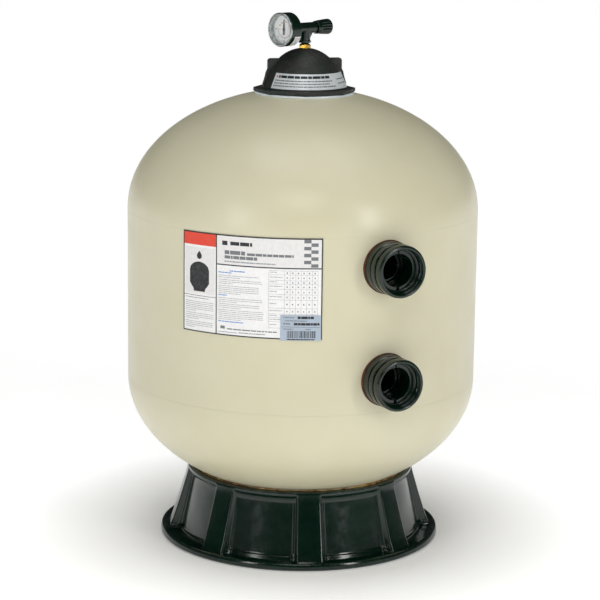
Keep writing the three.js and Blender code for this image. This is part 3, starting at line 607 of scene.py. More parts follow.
# Stations round the wall's section. Each has the radius and height on a rib, and the same on a panel.
FOOT_SECTION = [
    ((234, 0), (234, 0)), ((242.5, 0), (242.5, 0)), ((245, 1), (245, 1)), ((246.8, 3.2), (246.8, 3.2)),
    ((247, 6), (247, 6)), ((246.6, 9.5), (246.6, 9.5)), ((245, 12.1), (245, 12.1)),
    ((242.8, 12.9), (242.8, 12.9)),
    ((240.8, 12.4), (240.6, 12.2)), ((239, 11), (238.4, 10.6)), ((236.5, 10.4), (235, 9.9)),
    ((234.6, 10.8), (221, 9.9)), ((233.4, 12.4), (218.6, 10.5)), ((232.4, 15), (217.6, 12.6)),
    ((231.4, 17.5), (217.1, 15.2)), ((230.8, 19), (216.3, 16.4)), ((229.5, 22), (213.6, 17.4)),
    ((227, 28), (212.6, 20)), ((216, 62), (204.6, 55)), ((205.5, 97), (196.6, 90)),
    ((202.6, 107), (193.6, 103)),
    ((201.4, 112), (192.9, 108)), ((200.8, 115), (193.3, 111.5)), ((200.4, 117), (194.8, 114.6)),
    ((200.1, 118.6), (197, 116.6)), ((199.9, 119.8), (198.8, 118)), ((199.6, 121.4), (199.2, 120.6)),
    ((198.9, 123), (198.6, 122.9)), ((197.2, 124), (197, 124)), ((183.2, 124), (183.2, 124)),
    ((184, 120), (184, 120)), ((195, 118), (187.6, 112)), ((198, 104), (189, 103)),
    ((212, 60), (200.6, 55)),
    ((228, 9), (211.5, 9)),
]


def foot_wall():
    """The moulded foot: a conical wall with eight ribs, recessed panels with fillets, and a beaded flange."""
    columns = []
    for rib in range(8):
        centre = 45 * rib + 22.5
        columns += [(centre - offset, out) for offset, out in RIB_SIDE[:0:-1]]
        columns += [(centre + offset, out) for offset, out in RIB_SIDE]
        first = RIB_SIDE[-1][0]
        columns += [(centre + first + (45 - 2 * first) * k / 16, 0.0) for k in range(1, 16)]
    vertices = []
    for azimuth, out in columns:
        way = heading(azimuth)
        for rib_point, panel_point in FOOT_SECTION:
            radius, height = (p + (r - p) * out for r, p in zip(rib_point, panel_point))
            vertices.append(TANK @ (way * radius * MM + UP * height * MM))
    count, rows = len(FOOT_SECTION), len(columns)
    faces = [[k * count + i, (k + 1) % rows * count + i, (k + 1) % rows * count + (i + 1) % count,
              k * count + (i + 1) % count] for k in range(rows) for i in range(count)]
    hole = rod(16, 150, 260, 64, DRAIN)
    return combined(mesh_from(vertices, faces), [hole], "DIFFERENCE")


put("foot", "tank", foot_wall(), MATERIAL["foot_black"], ["foot", "foot_flange"])


# ------------------------------------------------------------------ ports

def wall_cylinder(radius):
    """A cylinder about the tank's axis that is taller than both ports."""
    return rod(radius, 200, 700, 360, TANK)


for side, place in PORTS.items():
    def port_piece(part, outline, material, edge=0.5, place=place, side=side, **more):
        return lathe(f"{side}_port_{part}", "tank", outline, material, place, edge=edge, segments=144,
                     **more)

    key = prism([(-2.9, -40), (2.9, -40), (2.9, -24), (-2.9, -24)], 331.5, 340, place)
    small_key = prism([(-1.6, 24), (1.6, 24), (1.6, 40), (-1.6, 40)], 334.5, 340, place)
    port_piece("bulkhead", [(26.4, 275), (46, 275), (46, 283), (33.2, 283), (33.2, 337.5), (27.4, 337.5,
                                                                                            0.6),
                            (26.4, 335, 1)], "gloss_black", 0.5, cuts=[key, small_key])
    washer = turned([(34.2, 283.3), (46, 283.3), (46, 300), (34.2, 300)], 96, True, place)
    put_all(f"{side}_port_inner_gasket", "tank", combined(washer, [wall_cylinder(295.8)], "INTERSECT"),
            "black_rubber")
    washer = turned(rounded([(34.2, 296), (44.9, 296), (44.9, 307), (34.2, 307)], 0.8), 144, True, place)
    put_all(f"{side}_port_outer_gasket", "tank", combined(washer, [wall_cylinder(305.6)], "DIFFERENCE"),
            "red_rubber")
    port_piece("nut", [(33.5, 307.3), (43.5, 307.3, 0.8), (43.7, 320, 0.9), (41, 320.8), (41, 323.4),
                       (43.2, 323.8, 1.6), (43.6, 335.2, 1.8), (33.5, 335.2)], "gloss_black")
    port_piece("collar", [
        (33.5, 335.5), (41, 335.5), (41.2, 340, 0.4), (43.6, 341.2, 1.4), (43.6, 351, 4),
        (42.2, 354.4, 2.2),
        (39.6, 355, 2), (37.6, 354.2, 1.5), (36.9, 351.5), *rows_between(36.4, 351, 341, 0.45),
        (36.2, 340.4), (34.8, 339.6), (34.8, 338.5), (33.5, 338.5),
    ], "gloss_black", radius_at=thread(340.6, 351.2, 4.2, 1.0, 36.4))


# ------------------------------------------------------------------ pipework

def bent(outline, bend, corner, upward=True, start_way=1, sides=48):
    """A bent pipe in the YZ plane from a closed outline of (distance, radius) points along its centre line.

    The line comes along +Y, or along -Y if start_way is -1, and turns up or down about the corner."""
    side = 1 if upward else -1
    quarter = bend * math.pi / 2
    vertices = []
    for distance, radius in outline:
        angle = min(max(distance / bend, 0), math.pi / 2)
        y = bend * (math.sin(angle) - 1) + min(distance, 0)
        z = side * (bend * (1 - math.cos(angle)) + max(distance - quarter, 0))
        for k in range(sides):
            turn = TURN * k / sides
            reach = radius * math.sin(turn)
            vertices.append(TANK @ (Vector((radius * math.cos(turn),
                                            start_way * (y - reach * side * math.sin(angle)),
                                            z + reach * math.cos(angle))) * MM + corner * MM))
    count = len(outline)
    faces = [[i * sides + k, i * sides + (k + 1) % sides, (i + 1) % count * sides + (k + 1) % sides,
              (i + 1) % count * sides + k] for i in range(count) for k in range(sides)]
    return mesh_from(vertices, faces)


def bend_stations(bend, steps=14):
    return [bend * math.pi / 2 * k / steps for k in range(steps + 1)]


def socket_elbow(bend, outer, socket, bore, shoulder, depth):
    """The outline of an elbow with a beaded socket at each end."""
    stations = bend_stations(bend)
    end = stations[-1] + shoulder + depth
    start = -shoulder - depth
    neck = outer - 1.6
    outline = [(start, socket + 1.2), (start, outer - 1), (start + 1, outer), (-shoulder + 2, outer),
               (-1, neck)]
    outline += [(s, neck) for s in stations]
    outline += [(stations[-1] + 1, neck), (stations[-1] + shoulder - 2, outer), (end - 1, outer),
                (end, outer - 1),
                (end, socket + 1.2), (end - 1.2, socket), (end - depth, socket), (end - depth, bore)]
    outline += [(s, bore) for s in reversed(stations)]
    return outline + [(-shoulder, bore), (-shoulder, socket), (start + 1.2, socket)]


PIPE_BORE, PIPE_OUTER, SOCKET, FITTING = 22, 25.6, 26, 30.5
PIPE_START, LEVEL_PIPE_END = 37.3, 298
elbow_outline = socket_elbow(34, FITTING, SOCKET, 21, 3, 20)
inlet, outlet = PORT_Z["upper"], PORT_Z["lower"]


def straight_pipe(name, body, low, high, place, material="white_pvc"):
    lathe(name, body, [(PIPE_BORE, low), (PIPE_OUTER, low), (PIPE_OUTER, high), (PIPE_BORE, high)],
          material,
          place, edge=0.6, segments=72)


straight_pipe("inlet_pipe", "diffuser_arm", PIPE_START, LEVEL_PIPE_END, outward(inlet * MM), "gloss_black")
straight_pipe("inlet_riser", "diffuser_arm", inlet + PIPE_START, 706, TANK)
straight_pipe("outlet_pipe", "tank", PIPE_START, LEVEL_PIPE_END, outward(outlet * MM), "gloss_black")
straight_pipe("outlet_riser", "tank", 168, outlet - PIPE_START, TANK)
put_all("inlet_elbow", "diffuser_arm", bent(elbow_outline, 34, Vector((0, 0, inlet))), "white_pvc")
tube_hole = rod(4.8, 5, 60, 32, outward(outlet * MM, towards_ports=False))
put_all("outlet_elbow", "tank",
        combined(bent(elbow_outline, 34, Vector((0, 0, outlet)), upward=False), [tube_hole], "DIFFERENCE"),
        "white_pvc")


def diffuser():
    bowl = rounded([(26, 688), (30.5, 688), (30.5, 703, 4), (53, 715.5), (53, 719), (42, 719),
                    (30.5, 710.5, 2),
                    (22, 710), (22, 706.3), (26, 706.3)], 0.7)
    cover = rounded([(0, 733, 0), (55, 731), (55, 734, 1.4), (38, 740, 8), (0, 742, 0)], 0.6, closed=False)
    posts = [rod(3, 717, 735, 24,
                 TANK @ Matrix.Translation(heading(45 + 90 * k) * 46 * MM)) for k in range(4)]
    return combined(turned(bowl, 96, True, TANK), [turned(cover, 96, False, TANK), *posts])


put_all("diffuser", "diffuser_arm", diffuser(), "white_pvc")

HUB_Z = 148
spigots = [rod(9.1, 15, 45, 32, TANK @ Matrix.Translation((0, 0,
                                                           HUB_Z * MM)) @ Matrix.Rotation(TURN * k / 8, 4,
                                                                                          "Z")
               @ Matrix.Rotation(math.pi / 2, 4, "Y")) for k in range(8)]
lathe("lateral_hub", "tank", [
    (0, 130, 0), (36, 130, 3), (36, 167, 3), (30.5, 172, 3), (30.5, 186), (26, 186), (26, 166), (21, 166),
    (21, 136),
    (0, 136, 0),
], "white_pvc", edge=0.7, closed=False, cuts=spigots)


def lateral_outline():
    """A lateral's tube with its fine slots shown as narrow grooves all round, between plain ends."""
    outline = [(0, 172, 0), (6, 172), (6, 24), (8.8, 24), (8.8, 36.6), (11, 37), (12, 38)]
    station = 46.0
    while station < 168:
        outline += [(12, station, 0), (10.9, station + 0.1, 0), (10.9, station + 1.1, 0),
                    (12, station + 1.2, 0)]
        station += 3.4
    return outline + [(12, 173), (9, 176, 2), (0, 176.4, 0)]


for k in range(8):
    place = TANK @ Matrix.Translation((0, 0, HUB_Z * MM)) @ Matrix.Rotation(TURN * k / 8, 4,
                                                                            "Z") @ Matrix.Rotation(
        math.pi / 2, 4, "Y")
    lathe(f"lateral_{k + 1}", "tank", lateral_outline(), "white_pvc", place, edge=0.5, segments=40,
          closed=False)

tube_start = 12 + 20 - 72
tube_end = 20 * math.pi / 2 + 728 - outlet - 20
tube_stations = [tube_start, *bend_stations(20, 10), tube_end]
tube_outline = [(s, 4.5) for s in tube_stations] + [(s, 3) for s in reversed(tube_stations)]
put_all("air_relief_tube", "tank", bent(tube_outline, 20, Vector((0, 72, outlet)), sides=24), "white_pvc")
lathe("air_relief_strainer", "tank", [
    (4.8, 718), (7, 718), *[(7 - 0.5 * (k % 4 in (1, 2)), 719.5 + k, 0) for k in range(16)], (7, 736),
    (0, 738, 0),
    (0, 728.3, 0), (4.8, 728.3),
], "white_pvc", TANK @ Matrix.Translation((0, 72 * MM, 0)), segments=32, closed=False)


# ------------------------------------------------------------------ drain

lathe("drain_fitting", "tank", [(10.5, 65), *[(14.5 - 0.6 * (k % 2), 65.5 + 1.1 * k, 0) for k in range(20)],
                                (14.5, 93.9), (25, 93.9), (25, 98.9), (10.5, 98.9)], "gloss_black",
      segments=64)
lathe("drain_screen", "tank", [(0, 116.2, 0), (15, 113.2, 2), (15, 99.2), (18, 99.2),
                               *[(18 - 0.7 * (k % 4 in (1, 2)), 100.5 + k, 0) for k in range(14)],
                               (18, 115.2, 2),
                               (0, 119.2, 0)], "white_pvc", segments=72, closed=False)
nut_corners = turned(rounded([(0, 74.5, 0), (24.6, 74.5, 0), (27.2, 76, 0), (27.2, 81.3, 0),
                              (24.6, 82.8, 0),
                              (0, 82.8, 0)], 0, closed=False), 96, False, TANK)
nut = combined(bevelled(prism(polygon(27, 6), 74.5, 82.8, TANK), 0.8), [nut_corners], "INTERSECT")
put_all("drain_nut", "tank", combined(nut, [rod(14.8, 60, 100, 64, TANK)], "DIFFERENCE"), "gloss_black")
stations = bend_stations(21)
drain_top = stations[-1] + 74 - 40 - 21
drain_outline = [(-23, 14.5), (-23, 17.6), (-22, 18.5), (-1, 18.5), *[(s, 17.6) for s in stations],
                 (stations[-1] + 2, 18.5), (drain_top - 1, 18.5), (drain_top, 17.5), (drain_top, 14.8),
                 (drain_top - 9.3, 14.8), (drain_top - 9.3, 10), *[(s, 10) for s in reversed(stations)],
                 (-3, 10),
                 (-3, 13.3), (-22, 13.3)]
put_all("drain_elbow", "tank", bent(drain_outline, 21, Vector((0, 0, 40)), start_way=-1), "gloss_black")
DRAIN_END = (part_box("drain_pipe")[1].y - AXIS_Y) / MM
CAP = DRAIN @ Matrix.Translation((0, 0, DRAIN_END * MM))
lathe("drain_pipe", "tank", [
    (10, 24.3), (13, 24.3), (13, DRAIN_END - 16), *[(13 - 0.5 * (k % 2), DRAIN_END - 15 + k,
                                                     0) for k in range(14)],
    (13, DRAIN_END), (10, DRAIN_END),
], "white_pvc", DRAIN, segments=64)
lathe("drain_cap_gasket", "drain_cap_seal", [(5, 0.3), (12.7, 0.3), (12.7, 2.3), (5, 2.3)], "black_rubber",
      CAP,
      segments=64)


def drain_cap():
    grip = rounded([(0, 2.6, 0), (15.4, 2.6), (15.4, -14), (18.8, -14), (18.8, 5.3, 1.2), (17.3, 6.8, 0.8),
                    (0, 6.8, 0)], 0.5, closed=False)

    def ribs(radius, height, angle):
        groove = (0.5 + 0.5 * math.cos(30 * angle)) ** 2 * 0.8
        return radius - groove if radius > 17.6 and height < 5 else radius

    wing = rounded([(18, -12), (24.8, -10.5, 3), (24.8, -1, 3), (18, 0.5)], 0.5)
    wings = [prism([(x * side, z) for x, z in wing][::side], -2.5, 2.5,
                   CAP @ Matrix.Rotation(math.pi / 2, 4, "X"), 0.9) for side in (1, -1)]
    return combined(turned(grip, 180, False, CAP, ribs), wings)


put_all("drain_cap", "drain_cap_body", drain_cap(), "gloss_black")


# ------------------------------------------------------------------ closure

SHOULDER, CROWN_TOP, CROWN_WALL, BORE_TOP = (42.8, 844.5), 861, 5, 816
PLUG_BORE, PLUG_RADIUS, PLUG_CREST, PLUG_BOTTOM = 57.5, 60.4, 66, 760
BAND_LOW, BAND_HIGH = (72.8, 796), (60.6, 822.3)
# Azimuths of the ends of the closure's label, and the height of its top edge.
BAND_FROM, BAND_TO, BAND_TOP = -78.4, 67.4, 821.5


def closure():
    """The moulded closure: threaded plug, octagonal flange, two cones, rounded cap and two lugs."""
    rise = CROWN_TOP - SHOULDER[1]
    cap = (SHOULDER[0] ** 2 + rise ** 2) / (2 * rise)
    inner, centre, start = cap - CROWN_WALL, CROWN_TOP - cap, angle_at(SHOULDER[0], cap)
    crown = arc(cap, cap, centre, start, angle_at(7, cap), 24)
    crown[0] = (*crown[0], 9)
    hollow = arc(inner, inner, centre, start, angle_at(7, inner), 16)[::-1]
    outline = [(PLUG_BORE, PLUG_BOTTOM), (PLUG_RADIUS - 1.6, PLUG_BOTTOM),
               (PLUG_RADIUS, PLUG_BOTTOM + 1.6, 0.8),
               *rows_between(PLUG_RADIUS, PLUG_BOTTOM + 2.5, 784, 0.8), (PLUG_RADIUS, 787.5), (75, 787.5),
               (75, 792, 0), (73.4, 794.6, 2.5), BAND_LOW, (*BAND_HIGH, 2.5), *crown, *hollow,
               (PLUG_BORE, BORE_TOP)]
    plug_thread = thread(PLUG_BOTTOM + 2, 785, THREAD_PITCH, PLUG_CREST - PLUG_RADIUS, PLUG_RADIUS)
    shell = turned(rounded(outline, 0.8), 192, True, TANK, plug_thread)
    flange = prism(polygon(88.5, 8, CLOSURE_CORNER - 90), 786.7, 793.2, TANK, 1.3, 3)
    flange = combined(flange, [rod(60, 780, 800, 96, TANK), turned([(75.3, 780), (80.7, 780), (80.7, 790.3),
                                                                   (75.3, 790.3)], 96, True, TANK)],
                      "DIFFERENCE")
    cavity = turned([(0, 745), (58, 745), (58, BORE_TOP),
                     *arc(inner + 0.5, inner + 0.5, centre, start, 80, 16),
                     (0, CROWN_TOP - 4.5)], 96, False, TANK)
    lugs = []
    for azimuth in (LUG_AZIMUTH, LUG_AZIMUTH + 180):
        outline = rounded([(41, 792.5), (74, 792.5), (73.4, 800, 6), (69.6, 812, 6), (68, 819.5, 4),
                           (65.2, 825.5, 4), (65.2, 843.5, 5), (41, 843.5)], 1.0, 6)
        upright = Matrix.Rotation(math.radians(azimuth - 90), 4, "Z") @ Matrix.Rotation(math.pi / 2, 4, "X")
        lug = prism(outline, -5, 5, TANK @ upright, 1.6, 3)
        lugs.append(combined(lug, [cavity.copy()], "DIFFERENCE"))
    return combined(shell, [flange, *lugs])


put("closure", "closure_top", closure(), MATERIAL["closure_black"], ["closure", "closure_plug"])
lathe("closure_o_ring", "closure_seal",
      [(78 + 2.4 * math.cos(TURN * k / 16), 788.2 + 1.9 * math.sin(TURN * k / 16)) for k in range(16)],
      "black_rubber", edge=0, segments=144)


def brass_adapter():
    hexagon = prism(polygon(10.9, 6, 12), 861.4, 866.6, TANK)
    corners = rounded([(0, 861, 0), (9.9, 861), (10.8, 862.4), (10.8, 864.6), (9.2, 866.8),
                       (0, 866.8, 0)], 0.3, closed=False)
    stem = rounded([(0, 846, 0), (6.5, 846), (6.5, 863), (8.9, 866, 0), (8.7, 867.2, 0.5), (5.5, 869.4),
                    (5.2, 877.6), (0, 877.6, 0)], 0.4, closed=False)
    chamfer, cone = (turned(outline, 64, False, TANK) for outline in (corners, stem))
    return combined(combined(hexagon, [chamfer], "INTERSECT"), [cone]), rod(2.5, 840, 890, 32, TANK)


adapter, bore = brass_adapter()
put_all("brass_adapter", "closure_top", combined(adapter, [bore], "DIFFERENCE"), "brass")


# ------------------------------------------------------------------ relief valve and knob

FOOT_DROP = -25.1  # the bottom of the valve's foot, below its axis
upright = VALVE @ Matrix.Rotation(-math.pi / 2, 4, "X")


def valve_body():
    def ribs(radius, height, angle):
        groove = 0.7 * (0.5 + 0.5 * math.cos(20 * angle)) ** 3
        return radius - groove if radius > 10.8 and 22 < height < 29 else radius

    barrel = rounded([(0, -21, 0), (9.5, -21), (9.5, 20.4, 1), (10, 20.8), (11.3, 21.4), (11.3, 29.3),
                      (10.6, 30),
                      (0, 30, 0)], 0.5, closed=False)
    foot = rounded([(0, FOOT_DROP, 0), (9.8, FOOT_DROP), (9.8, FOOT_DROP + 4), (9.3, FOOT_DROP + 5),
                    (9.2, 0),
                    (0, 0, 0)], 0.5, closed=False)
    side_on = VALVE @ Matrix.Rotation(-math.pi / 2, 4, "Y")
    web = prism(rounded([(-8.6, FOOT_DROP + 1), (-9, FOOT_DROP + 5), (-19.5, -5), (-19.5, 3), (0, 3),
                         (0, FOOT_DROP + 1)], 0.8), -2.3, 2.3, side_on, 0.8)
    brace = prism(rounded([(0, 0), (20.5, -4), (20.5, -8.2), (9, FOOT_DROP + 6), (0, FOOT_DROP + 6)], 0.8),
                  -1.7, 1.7,
                  side_on, 0.7)
    hooks = [prism(rounded([(8.6 * way, FOOT_DROP), (12.4 * way, FOOT_DROP + 0.6),
                            (12.2 * way, FOOT_DROP + 2.4),
                            (9.2 * way, FOOT_DROP + 4.2)][::way], 0.4), -3, 3, side_on, 0.4) for way in (1,
                                                                                                         -1)]
    body = combined(turned(barrel, 160, False, VALVE, ribs),
                    [turned(foot, 64, False, upright), web, brace, *hooks])
    bores = [rod(6.4, 12, 35, 48, VALVE), rod(2.6, -2, 14, 32, VALVE), rod(5.2, -26, -1, 48, VALVE),
             rod(5.5, FOOT_DROP - 5, FOOT_DROP + 9, 48, upright), rod(2.6, FOOT_DROP + 5, 2, 32, upright)]
    return combined(body, bores, "DIFFERENCE")


put_all("relief_valve_body", "closure_top", valve_body(), "gloss_black")


def knob():
    """The knob: flared towards its outer end, with grip ribs and a rounded rim."""
    ribs = 14

    def grip(radius, height, angle):
        along = min(1, max(0, (height + 54) / 2), max(0, (-31 - height) / 3))
        wave = 0.5 + 0.5 * math.cos(ribs * angle)
        return radius - 1.3 * along * wave ** 3 if radius > 9 else radius
    stations = [(13.3 - 1.5 * max(0, min(1, (z + 52) / 22)), z, 0) for z in range(-54, -29, 2)]
    outline = rounded([(0, -55.4, 0), (8, -56), (12.2, -56, 1.2), (13.3, -54.8, 0.5), *stations,
                       (11.4, -28.4),
                       (11.2, -24, 1.2), (0, -24, 0)], 0.5, closed=False)
    return combined(turned(outline, 12 * ribs, False, VALVE, grip), [rod(5.0, -52.3, -10, 48, VALVE)],
                    "DIFFERENCE")


put_all("relief_knob", "relief_knob_and_stem", knob(), "gloss_black")
lathe("relief_stem", "relief_knob_and_stem", [
    (0, -52, 0), (4.7, -52), (4.7, -17), (3.2, -17), (3.2, -14), (4.7, -14), (4.7, -6), (1.5, -2),
    (0, -2, 0),
], "gloss_black", VALVE, segments=48, closed=False)
lathe("relief_stem_o_ring", "relief_seal",
      [(4.17 + 0.68 * math.cos(TURN * k / 12), -15.5 + 1.2 * math.sin(TURN * k / 12)) for k in range(12)],
      "black_rubber", VALVE, edge=0, segments=48)


# ------------------------------------------------------------------ gauge

CASE_BACK, CASE_RADIUS, DIAL_FACE, PRINT_RISE = 34, 28.7, 50.0, 0.07
SECTOR_DROP = 10  # the toothed sector's pin, below the pointer's
SECTOR = VALVE @ Matrix.Translation((0, -SECTOR_DROP * MM, 0))


def gauge_socket():
    stem = rounded([(0, 15, 0), (5.2, 15), (6, 17), (6, 30.4), (5, 31), (5, CASE_BACK + 6.2),
                    (0, CASE_BACK + 6.2, 0)], 0.3, closed=False)
    body = turned(stem, 48, False, VALVE)
    hexagon = prism(polygon(8.6, 6), 30.4, CASE_BACK - 0.3, VALVE, 0.5)
    bridge = prism([(-6, -13), (6, -13), (6, 4), (-6, 4)], CASE_BACK + 6, CASE_BACK + 7.5, VALVE, 0.4)
    holes = [rod(1.9, 10, CASE_BACK + 4, 24, VALVE), rod(1.5, CASE_BACK + 2, CASE_BACK + 12, 24, VALVE),
             rod(1.1, CASE_BACK, CASE_BACK + 12, 24, SECTOR)]
    return combined(combined(body, [hexagon, bridge]), holes, "DIFFERENCE")


put_all("gauge_socket", "closure_top", gauge_socket(), "brass")
lathe("gauge_case", "closure_top", [
    (5.3, CASE_BACK), (25, CASE_BACK, 4), (CASE_RADIUS, 36.4, 2.5), (CASE_RADIUS, 56.8), (28.1, 57.4),
    (26.3, 57.6), (26.3, 36.6), (5.3, 36.5),
], "gloss_black", VALVE, segments=128)
lathe("gauge_bezel", "closure_top", [
    (24.2, 50.3), (26, 50.3), (26, 57.9), (28.4, 57.9), (29, 58.4), (29, 60), (27.8, 61.5, 1),
    (25.9, 61.6, 0.6),
    (25.2, 60.9), (25.2, 59.6), (24.2, 59.2),
], "bezel_grey", VALVE, segments=128, edge=0.3)
lathe("gauge_lens", "closure_top", [(0, 59.9, 0), (24.9, 59.9), (24.9, 60.7), (14, 61.1, 0), (0, 61.3, 0)],
      "clear_lens",
      VALVE, segments=96, closed=False, edge=0.2)


def flat_bar(start, end, width):
    """A thin bar on the dial between two points, in mm."""
    start, end = Vector(start), Vector(end)
    across = (end - start).normalized().orthogonal() * width / 2
    corners = [start - across, end - across, end + across, start + across]
    return prism([(c.x, c.y) for c in corners], DIAL_FACE, DIAL_FACE + PRINT_RISE, VALVE)


def clock(radius, degrees):
    """A point on the dial, at an angle clockwise from the top."""
    return (radius * math.sin(math.radians(degrees)), radius * math.cos(math.radians(degrees)))


def number(text, size, radius, degrees):
    """A number on the dial, as a thin raised mesh."""
    curve = bpy.data.curves.new("number", "FONT")
    curve.body, curve.size, curve.extrude = text, size * MM, 0.03 * MM
    curve.align_x = curve.align_y = "CENTER"
    curve.resolution_u = 3
    holder = bpy.data.objects.new("number", curve)
    bpy.context.scene.collection.objects.link(holder)
    bpy.context.view_layer.update()
    mesh = bpy.data.meshes.new_from_object(holder.evaluated_get(bpy.context.evaluated_depsgraph_get()))
    bpy.data.objects.remove(holder)
    x, y = clock(radius, degrees)
    mesh.transform(VALVE @ Matrix.Translation(Vector((x, y, DIAL_FACE + 0.04)) * MM))
    return mesh


SCALE_SWEEP = 270
lathe("gauge_dial", "closure_top", [(1.9, 48.8), (25.8, 48.8), (25.8, 50), (1.9, 50)], "neck_white", VALVE,
      segments=96,
      edge=0.1, slot="label_white").data.materials[0] = INK["dial"]
black_marks = [flat_bar(clock(14.4, a), clock(17.0 if k % 5 == 0 else 15.7, a), 0.55 if k % 5 == 0 else 0.3)
               for k in range(31) for a in [SCALE_SWEEP * k / 30]]
black_marks += [flat_bar(clock(14.4, a), clock(14.4, a + 9.2), 0.3) for a in range(0, SCALE_SWEEP, 9)]
black_marks += [number(str(10 * k), 4.0, 19.9, SCALE_SWEEP * k / 6) for k in range(7)]
red_marks = [flat_bar(clock(12.6, a), clock(13.8, a),
                      0.35) for k in range(21) for a in [SCALE_SWEEP * k / 20]]
red_marks += [flat_bar(clock(12.6, a), clock(12.6, a + 9.2), 0.3) for a in range(0, SCALE_SWEEP, 9)]
red_marks += [number(str(k), 3.2, 10.2, SCALE_SWEEP * k / 4) for k in range(5)]
for colour, marks in (("black", black_marks), ("tick_red", red_marks)):
    put(f"gauge_marks_{colour}", "closure_top", join_meshes(marks), INK[colour],
        smooth=False)


def dial_screw(name, degrees):
    x, y = clock(11.9, degrees)
    place = VALVE @ Matrix.Translation((x * MM, y * MM, 0))
    outline = rounded([(0, DIAL_FACE, 0), (1.45, DIAL_FACE), (1.45, 50.5, 0.2), (0.9, 50.75, 0),
                       (0, 50.8, 0)],
                      0.1, closed=False)
    head = turned(outline, 32, False, place)
    slot = prism([(-2, -0.2), (2, -0.2), (2, 0.2), (-2, 0.2)], 50.5, 51,
                 place @ Matrix.Rotation(0.6, 4, "Z"))
    put(name, "closure_top", combined(head, [slot], "DIFFERENCE"), MATERIAL["brass"])


dial_screw("dial_screw_upper", -26)
dial_screw("dial_screw_lower", -57)


def needle():
    blade = prism(rounded([(-2.0, -9), (2.0, -9), (1.7, 0), (1.4, 8), (0.4, 17), (-0.4, 17), (-1.4, 8),
                           (-1.7, 0)], 0.3),
                  51.0, 51.7, VALVE, 0.15)
    hub = turned(rounded([(0, 50.6, 0), (2.6, 50.6), (2.6, 52.1), (0, 52.4, 0)], 0.4, closed=False), 40,
                 False, VALVE)
    return combined(blade, [hub, rod(1.2, 38.6, 52, 24, VALVE)])


put_all("gauge_needle", "gauge_pointer", needle(), "gloss_black")


def toothed_sector():
    """The movement's quadrant, with fine teeth along its arc."""
    teeth = [((8.4 if k % 2 else 7.9) * math.sin(math.radians(a)),
              (8.4 if k % 2 else 7.9) * math.cos(math.radians(a)))
             for k, a in enumerate(np.linspace(42, -3, 31))]
    plate = prism([(1.6, 0), *teeth, (-1.6, 0), (-1.4, -5), (1.4, -5)][::-1], 41.8, 42.8, SECTOR)
    return combined(plate, [rod(0.8, 40.6, 43, 24, SECTOR)])


put_all("gauge_sector", "gauge_movement", toothed_sector(), "brass")


def bourdon_tube():
    """A flattened tube bent round the movement, as a smooth sweep."""
    steps, around = 72, 16
    vertices = []
    for k in range(steps + 1):
        turn = math.radians(-55 + 270 * k / steps)
        for i in range(around):
            tilt = TURN * i / around
            radius = 16.9 + 1.7 * math.cos(tilt)
            vertices.append(VALVE @ (Vector((radius * math.cos(turn), radius * math.sin(turn),
                                             41 + 3 * math.sin(tilt)))
                                     * MM))
    faces = [[k * around + i, (k + 1) * around + i, (k + 1) * around + (i + 1) % around,
              k * around + (i + 1) % around]
             for k in range(steps) for i in range(around)]
    faces += [list(range(around))[::-1], [steps * around + i for i in range(around)]]
    return mesh_from(vertices, faces)


put_all("bourdon_tube", "closure_top", bourdon_tube(), "brass")


# ------------------------------------------------------------------ labels

LINE_SPACING, LINE_HEIGHT = 3.1, 0.8


